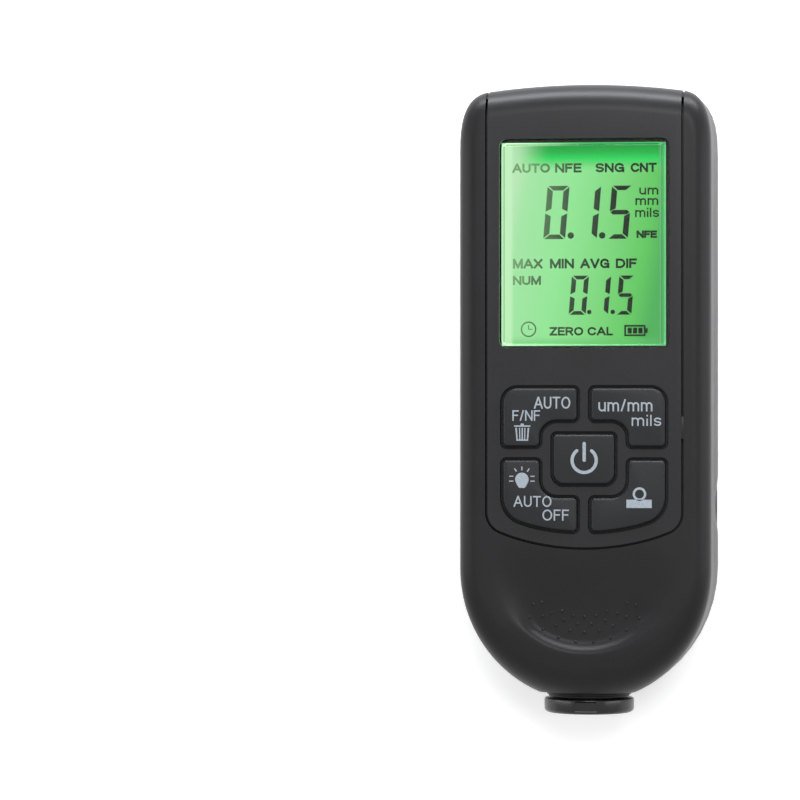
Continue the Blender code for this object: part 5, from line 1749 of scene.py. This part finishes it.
    def mat(self) -> None:
        """The rubber mat: a sheet, and a dome under each key."""
        outline = rectangle(self.mat_box, self.mat_corner, 6)
        rings = softened(outline, *self.mat_heights, self.mat_edge, 3)
        sheet = self.maker.raw("mat_sheet", Solid().loft(rings))
        self.maker.dress(sheet, RUBBER, "case", "mat_silicone", ["key_mat"])
        for name, spot in self.SPOTS.items():
            profile = [(self.dome_foot, self.dome_radius)]
            for turn in quarter(5)[1:]:
                height = self.dome_height * math.sin(turn) ** 1.4
                radius = self.dome_radius - self.dome_taper * (1 - math.cos(turn))
                profile.append((self.dome_foot + height, radius))
            solid = Solid().turned(profile, spot, True, sides=32)
            dome = self.maker.raw(name.replace("key_", "dome_"), solid)
            self.maker.dress(dome, RUBBER, "case", "mat_silicone")
            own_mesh(dome)


@dataclass(frozen=True)
class DigitForm:
    """Seven-segment digits of one size."""

    foot: float
    top: float
    stroke: float
    slant: float = 0.085
    gap: float = 0.17

    LIT = {"0": "abcdef", "1": "bc", "5": "afgcd"}

    def draw(self, pen: Lettering, digit: str, left: float, width: float) -> None:
        """Add one digit.

        Args:
            pen: The lettering.
            digit: The digit.
            left: Its left side at the foot.
            width: Its width.
        """
        right = left + width
        stroke, gap = self.stroke, self.gap
        half = stroke / 2
        bar = stroke * 0.8
        middle = (self.foot + self.top) / 2
        corner = stroke + gap / 2
        end_bar = ((gap, 0), (width - gap, 0), (width - corner, bar), (corner, bar))
        high_side = (
            (0, self.top - gap),
            (0, middle + gap),
            (stroke, middle + half + gap),
            (stroke, self.top - bar - gap),
        )
        low_side = (
            (0, middle - gap),
            (0, self.foot + gap),
            (stroke, self.foot + bar + gap),
            (stroke, middle - half - gap),
        )
        tip, thick = gap * 0.6, half * 0.8
        segments = {
            "a": [(left + x, self.top - y) for x, y in end_bar],
            "d": [(left + x, self.foot + y) for x, y in end_bar],
            "f": [(left + x, y) for x, y in high_side],
            "e": [(left + x, y) for x, y in low_side],
            "b": [(right - x, y) for x, y in high_side],
            "c": [(right - x, y) for x, y in low_side],
            "g": [
                (left + tip, middle),
                (left + half + tip, middle + thick),
                (right - half - tip, middle + thick),
                (right - tip, middle),
                (right - half - tip, middle - thick),
                (left + half + tip, middle - thick),
            ],
        }
        for name in self.LIT[digit]:
            pen.plate([(x + self.slant * (y - self.foot), y) for x, y in segments[name]])


@dataclass
class Display:
    """The window, the lit screen with its readout, and what stands behind it."""

    maker: Maker
    case: Case
    screen: Box = (-16.65, 16.65, 9.3, 49.8)
    screen_corner: float = 0.9
    glass: Point = (20.6, 22.6)
    print_gap: float = 0.004
    bold: float = 0.225
    slim: float = 0.165
    extra: float = 0.05
    low_word: float = 1.4
    spread: float = 1.0153
    shift: Point = (-0.335, 0.33)
    pane_foot: float = 23.8
    pane_step: float = 24.9
    pane_top: float = 25.9
    lens: Box = ClearPane.sides
    lens_corner: float = 1.1
    lens_edge: float = 0.55

    WORDS = (
        ("AUTO", (-13.37, -6.33, 42.35, 44.07)),
        ("NFE", (-5.36, -0.43, 42.35, 44.07)),
        ("SNG", (2.19, 7.53, 42.35, 44.07)),
        ("CNT", (8.71, 13.56, 42.35, 44.07)),
        ("um", (10.32, 13.85, 38.15, 39.45)),
        ("mm", (9.6, 13.85, 36.2, 37.5)),
        ("mils", (9.55, 14.0, 33.95, 35.7)),
        ("NFE", (9.81, 13.62, 30.08, 31.47)),
        ("MAX", (-13.26, -7.72, 24.48, 26.28)),
        ("MIN", (-6.33, -1.85, 24.48, 26.28)),
        ("AVG", (-0.67, 4.76, 24.48, 26.28)),
        ("DIF", (5.96, 9.89, 24.48, 26.28)),
        ("NUM", (-13.26, -8.02, 21.41, 23.09)),
        ("ZERO CAL", (-6.41, 5.43, 11.95, 13.54)),
    )
    NUMBERS = (
        (DigitForm(29.95, 39.86, 1.06), (("0", -7.6, 4.1), ("1", 0.9, 1.5), ("5", 4.4, 3.8))),
        (DigitForm(15.81, 23.11, 0.88), (("0", -2.85, 3.2), ("1", 3.3, 1.2), ("5", 6.0, 2.85))),
    )
    DOTS = ((-2.45, 30.6, 0.6), (3.41, 30.6, 0.6), (1.01, 16.33, 0.42), (5.39, 16.33, 0.42))

    def build(self) -> None:
        """Make and dress the display."""
        self.pane()
        self.screen_glass()
        self.readout()
        recoat = self.maker.recoat
        recoat("display_frame", BLACK)
        recoat("light_guide", DIFFUSER)
        recoat("contact_strip", STRIP)
        recoat("backlight_led_1", LAMP)
        recoat("backlight_led_2", LAMP)

    def pane(self) -> None:
        """The clear pane, raised into the panel's opening with a softened edge."""
        outline = self.case.pane_outline(self.case.pane_margin)
        lens = rectangle(self.lens, self.lens_corner)
        rings = [flat(outline, z) for z in (self.pane_foot, self.pane_step)]
        rings += softened(lens, self.pane_step, self.pane_top, self.lens_edge, 6)
        piece = self.maker.raw("window_lens", Solid().loft(rings))
        self.maker.dress(piece, ClearPane(), "case", "clear_acrylic", ["display_window"])

    def screen_glass(self) -> None:
        """The lit glass behind the frame: two panes with a film on the front one."""
        low, high = self.glass
        outline = rectangle(self.screen, self.screen_corner, 4)
        back_pane = ((0.06, low), (0.0, low + 0.06), (0.0, low + 0.94))
        front_pane = ((0.14, low + 1.0), (0.14, high - 0.26))
        film = ((0.45, high - 0.2), (0.5, high))
        rings = [flat(grown(outline, -inset), z) for inset, z in back_pane + front_pane + film]
        piece = self.maker.raw("lit_glass", Solid().loft(rings))
        self.maker.dress(piece, LitScreen(), "case", "lcd_green", ["lcd_glass"])

    def readout(self) -> None:
        """Words, digits and signs on the screen."""
        solid = Solid()
        pen = Lettering(solid, self.glass[1] + self.print_gap)
        for text, box in self.WORDS:
            low = box[3] - box[2] < self.low_word
            pen.word(text, box, self.slim if text.islower() else self.bold + self.extra * low)
        for form, digits in self.NUMBERS:
            for digit, left, width in digits:
                form.draw(pen, digit, left, width)
        for x, y, radius in self.DOTS:
            pen.dot(x, y, radius)
        self.clock(pen)
        self.battery(pen)
        bmesh.ops.scale(solid.shape, vec=(self.spread, self.spread, 1.0), verts=solid.shape.verts)
        bmesh.ops.translate(solid.shape, vec=(*self.shift, 0.0), verts=solid.shape.verts)
        piece = self.maker.raw("readout", solid)
        self.maker.dress(piece, Segments(), "case", "lcd_green")

    @staticmethod
    def clock(pen: Lettering) -> None:
        """The timer sign: a dial with two hands."""
        pen.arc((-10.34, 13.13), 1.33, 0.26)
        pen.bar(-10.42, -10.26, 13.06, 13.95)
        pen.bar(-10.42, -9.6, 13.06, 13.2, pen.under)

    @staticmethod
    def battery(pen: Lettering) -> None:
        """The charge sign: a cell with three bars."""
        left, right, foot, top = 7.53, 11.5, 11.80, 13.90
        stroke = 0.34
        for box in (
            (left, right, foot, foot + stroke),
            (left, right, top - stroke, top),
            (left, left + stroke, foot + stroke, top - stroke),
            (right - stroke, right, foot + stroke, top - stroke),
            (right, right + 0.4, 12.4, 13.3),
            (8.15, 8.95, 12.3, 13.4),
            (9.15, 9.95, 12.3, 13.4),
            (10.15, 10.95, 12.3, 13.4),
        ):
            pen.bar(*box)


@dataclass
class Probe:
    """The probe's ring and its sprung core."""

    maker: Maker
    axis_z: float = 13.8
    face: float = -59.6
    radius: float = 8.6
    length: float = 2.85
    bevel: float = 0.85
    back_bevel: float = 0.4
    spigot: float = 5.5
    collar: float = 6.6
    collar_span: Point = (6.2, 7.6)
    bore: float = 3.7
    hole: float = 1.5
    end_wall: float = 1.2
    tail: float = 14.8
    pad_width: float = 4.0
    pad_rise: float = 0.45
    pad_foot: float = 0.1
    pad_front: Point = (0.5, 0.75)
    pad_back: Point = (0.5, 0.3)
    notch_depth: float = 0.6
    notch_half: float = 9.5
    notch_reach: float = 12.0
    travel: float = 0.6

    def build(self) -> None:
        """Make and dress the probe."""
        self.ring()
        refine = self.maker.refine
        refine("probe_pin", STEEL)
        refine("probe_bobbin", IVORY)
        refine("probe_coil", COPPER)
        refine("probe_retainer", IVORY)
        refine("probe_lead", LEAD, 40.0)
        spring = refine("probe_spring", STEEL, 50.0)
        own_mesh(spring)

    def ring(self) -> None:
        """The glossy ring with its pad, notch and spigot."""
        face, tail = self.face, self.face + self.tail
        back = face + self.length
        profile = [(face, self.hole)]
        for turn in quarter(6):
            inset = self.bevel * (1 - math.sin(turn))
            profile.append((face + self.bevel * (1 - math.cos(turn)), self.radius - inset))
        for turn in quarter(3):
            inset = self.back_bevel * (1 - math.cos(turn))
            profile.append((back - self.back_bevel * (1 - math.sin(turn)), self.radius - inset))
        collar_near, collar_far = (face + reach for reach in self.collar_span)
        profile += [
            (back, self.spigot),
            (collar_near, self.spigot),
            (collar_near, self.collar),
            (collar_far, self.collar),
            (collar_far, self.spigot),
            (tail, self.spigot),
            (tail, self.bore),
            (face + self.end_wall, self.bore),
            (face + self.end_wall, self.hole),
        ]
        ring = self.maker.raw("ring", Solid().turned(profile, (0.0, self.axis_z), closed=True, sides=96))
        self.maker.add(ring, self.pad(back))
        outer, end = face - OVERRUN, face + self.notch_depth
        low, high = self.axis_z - self.notch_half, self.axis_z + self.notch_half
        notch = ((outer, low), (outer, high), (end, self.axis_z))
        sides = (-self.notch_reach, self.notch_reach)
        self.maker.cut(ring, Solid().loft([[(x, y, z) for y, z in notch] for x in sides]))
        self.maker.smooth(ring, 28.0)
        self.maker.dress(ring, GLOSS, "case", "ring_plastic", ["probe_ring"])

    def pad(self, back: float) -> Solid:
        """The raised pad on the ring.

        Args:
            back: The ring's back face.

        Returns:
            The pad, with its root inside the ring.
        """
        spread = math.asin(self.pad_width / 2 / self.radius)
        arc = [spread * step / 4 for step in range(-4, 5)]
        root = self.radius - self.bevel - FIT_GAP
        stations = (
            (self.face + self.pad_front[0], self.pad_foot),
            (self.face + self.pad_front[1], self.pad_rise),
            (back - self.pad_back[0], self.pad_rise),
            (back - self.pad_back[1], self.pad_foot),
        )
        rings = []
        for y, rise in stations:
            outer = self.radius + rise
            places = [(outer, turn) for turn in arc] + [(root, turn) for turn in reversed(arc)]
            section = [
                (size * math.sin(turn), y, self.axis_z + size * math.cos(turn)) for size, turn in places
            ]
            rings.append(section)
        return Solid().loft(rings)


@dataclass
class Inside:
    """Electronics and cells, which show with the battery cover off."""

    maker: Maker

    def build(self) -> None:
        """Dress the inner pieces."""
        recoat = self.maker.recoat
        recoat("circuit_board", BoardFilm())
        recoat("board_screw_1", STEEL)
        recoat("board_screw_2", STEEL)
        recoat("microcontroller", BLACK)
        self.maker.refine("buzzer", BLACK)
        recoat("probe_socket", IVORY)
        dark, gold = linear(60, 64, 70), linear(196, 150, 72)
        self.maker.refine("battery_1", Sleeve("sleeve_left", dark, gold, 8.0, 19.0))
        self.maker.refine("battery_2", Sleeve("sleeve_right", dark, gold, -23.0, -12.0))
        for name in ("positive", "negative", "bridge"):
            recoat(f"battery_{name}_contact", PLATED)


@dataclass
class Studio:
    """A pale floor, soft lamps and the camera."""

    camera_place: Corner = (0.055, 0.0, 0.750)
    aim: Corner = (-0.0366, 0.0002, 0.0138)
    view_width: float = 0.1545
    world_light: float = 0.5
    floor_glow: float = 0.4
    floor_half: float = 3000.0
    floor_heights: Point = (-40.0, -0.05)
    floor_white: float = 0.94
    sensor: float = 36.0

    def build(self) -> None:
        """Set up the whole studio."""
        self.floor()
        self.world()
        self.lamp("top_strip", (0.05, 0.50, 0.10), (0.0, 0.05, 0.02), (0.7, 0.12), 5.5, (0.92, 0.95, 1.0))
        self.lamp("overhead_softbox", (0.12, 0.31, 0.95), (0.0, 0.0, 0.0), (0.45, 0.25), 3.0)
        self.lamp("left_strip", (-0.60, 0.05, 0.20), (0.0, 0.0, 0.01), (0.08, 0.7), 0.9)
        self.lamp("right_strip", (0.60, 0.05, 0.16), (0.0, 0.0, 0.01), (0.08, 0.7), 0.9)
        self.lamp("foot_fill", (0.0, -0.45, 0.75), (0.0, -0.05, 0.02), (0.7, 0.3), 0.35)
        self.camera()
        bpy.context.scene.view_settings.view_transform = "Standard"

    def floor(self) -> None:
        """A white floor that keeps the gauge's shadow."""
        half = self.floor_half
        solid = Solid().block(-half, half, -half, half, *self.floor_heights)
        piece = bpy.data.objects.new("floor", solid.mesh("floor"))
        bpy.context.scene.collection.objects.link(piece)
        recipe = Recipe.named("floor_white")
        diffuse = recipe.node("ShaderNodeBsdfDiffuse", inputs={"Color": (self.floor_white,) * 3})
        shine = recipe.blend(self.seen(recipe), (0.0, 0.0, 0.0), (self.floor_glow,) * 3)
        glow = recipe.node("ShaderNodeEmission", inputs={"Color": shine})
        both = recipe.node("ShaderNodeAddShader", inputs={0: diffuse, 1: glow})
        piece.data.materials.append(recipe.output(both))

    @staticmethod
    def seen(recipe: Recipe) -> Signal:
        """1 for rays from the camera, a reflection or a clear pane, else 0."""
        names = ("Is Camera Ray", "Is Glossy Ray", "Is Transmission Ray")
        camera, glossy, clear = (recipe.node("ShaderNodeLightPath", output=name) for name in names)
        return camera.maths("MINIMUM", camera + glossy + clear, 1.0)

    def world(self) -> None:
        """Even grey light, seen as white."""
        recipe = Recipe(bpy.data.worlds.new("studio"))
        colour = recipe.blend(self.seen(recipe), (self.world_light,) * 3, (1.0, 1.0, 1.0))
        light = recipe.node("ShaderNodeBackground", inputs={"Color": colour})
        bpy.context.scene.world = recipe.output(light)

    def lamp(
        self,
        name: str,
        place: Sequence[float],
        target: Sequence[float],
        size: Point,
        power: float,
        tint: Colour = (1.0, 1.0, 1.0),
    ) -> None:
        """A rectangular soft lamp.

        Args:
            name: Its name.
            place: Where it hangs, in metres.
            target: What it points at.
            size: Its width and height.
            power: Its power in watts.
            tint: Its colour.
        """
        data = bpy.data.lights.new(name, "AREA")
        data.shape = "RECTANGLE"
        data.size, data.size_y = size
        data.energy = power
        data.color = tint
        made = bpy.data.objects.new(data.name, data)
        made.location = place
        made.rotation_euler = (Vector(target) - Vector(place)).to_track_quat("-Z", "Y").to_euler()
        bpy.context.scene.collection.objects.link(made)

    def camera(self) -> None:
        """The camera, straight over the gauge and aimed to its left."""
        data = bpy.data.cameras.new("camera")
        data.sensor_width = self.sensor
        place, aim = Vector(self.camera_place), Vector(self.aim)
        data.lens = data.sensor_width * (aim - place).length / self.view_width
        data.clip_start = 0.01
        made = bpy.data.objects.new("camera", data)
        ahead = (aim - place).normalized()
        right = ahead.cross(Vector((0, 1, 0))).normalized()
        turn = Matrix((right, right.cross(ahead), -ahead)).transposed()
        made.matrix_world = Matrix.Translation(place) @ turn.to_4x4()
        bpy.context.scene.collection.objects.link(made)
        bpy.context.scene.camera = made


def main() -> None:
    """Build every sub-assembly in order."""
    logging.basicConfig(level=logging.INFO, format="%(name)s: %(message)s")
    maker = Maker()
    case = Case(maker)
    for assembly in (case, Keypad(maker), Display(maker, case), Probe(maker), Inside(maker), Studio()):
        log.info("building %s", type(assembly).__name__)
        assembly.build()


if __name__ == "__main__":
    main()
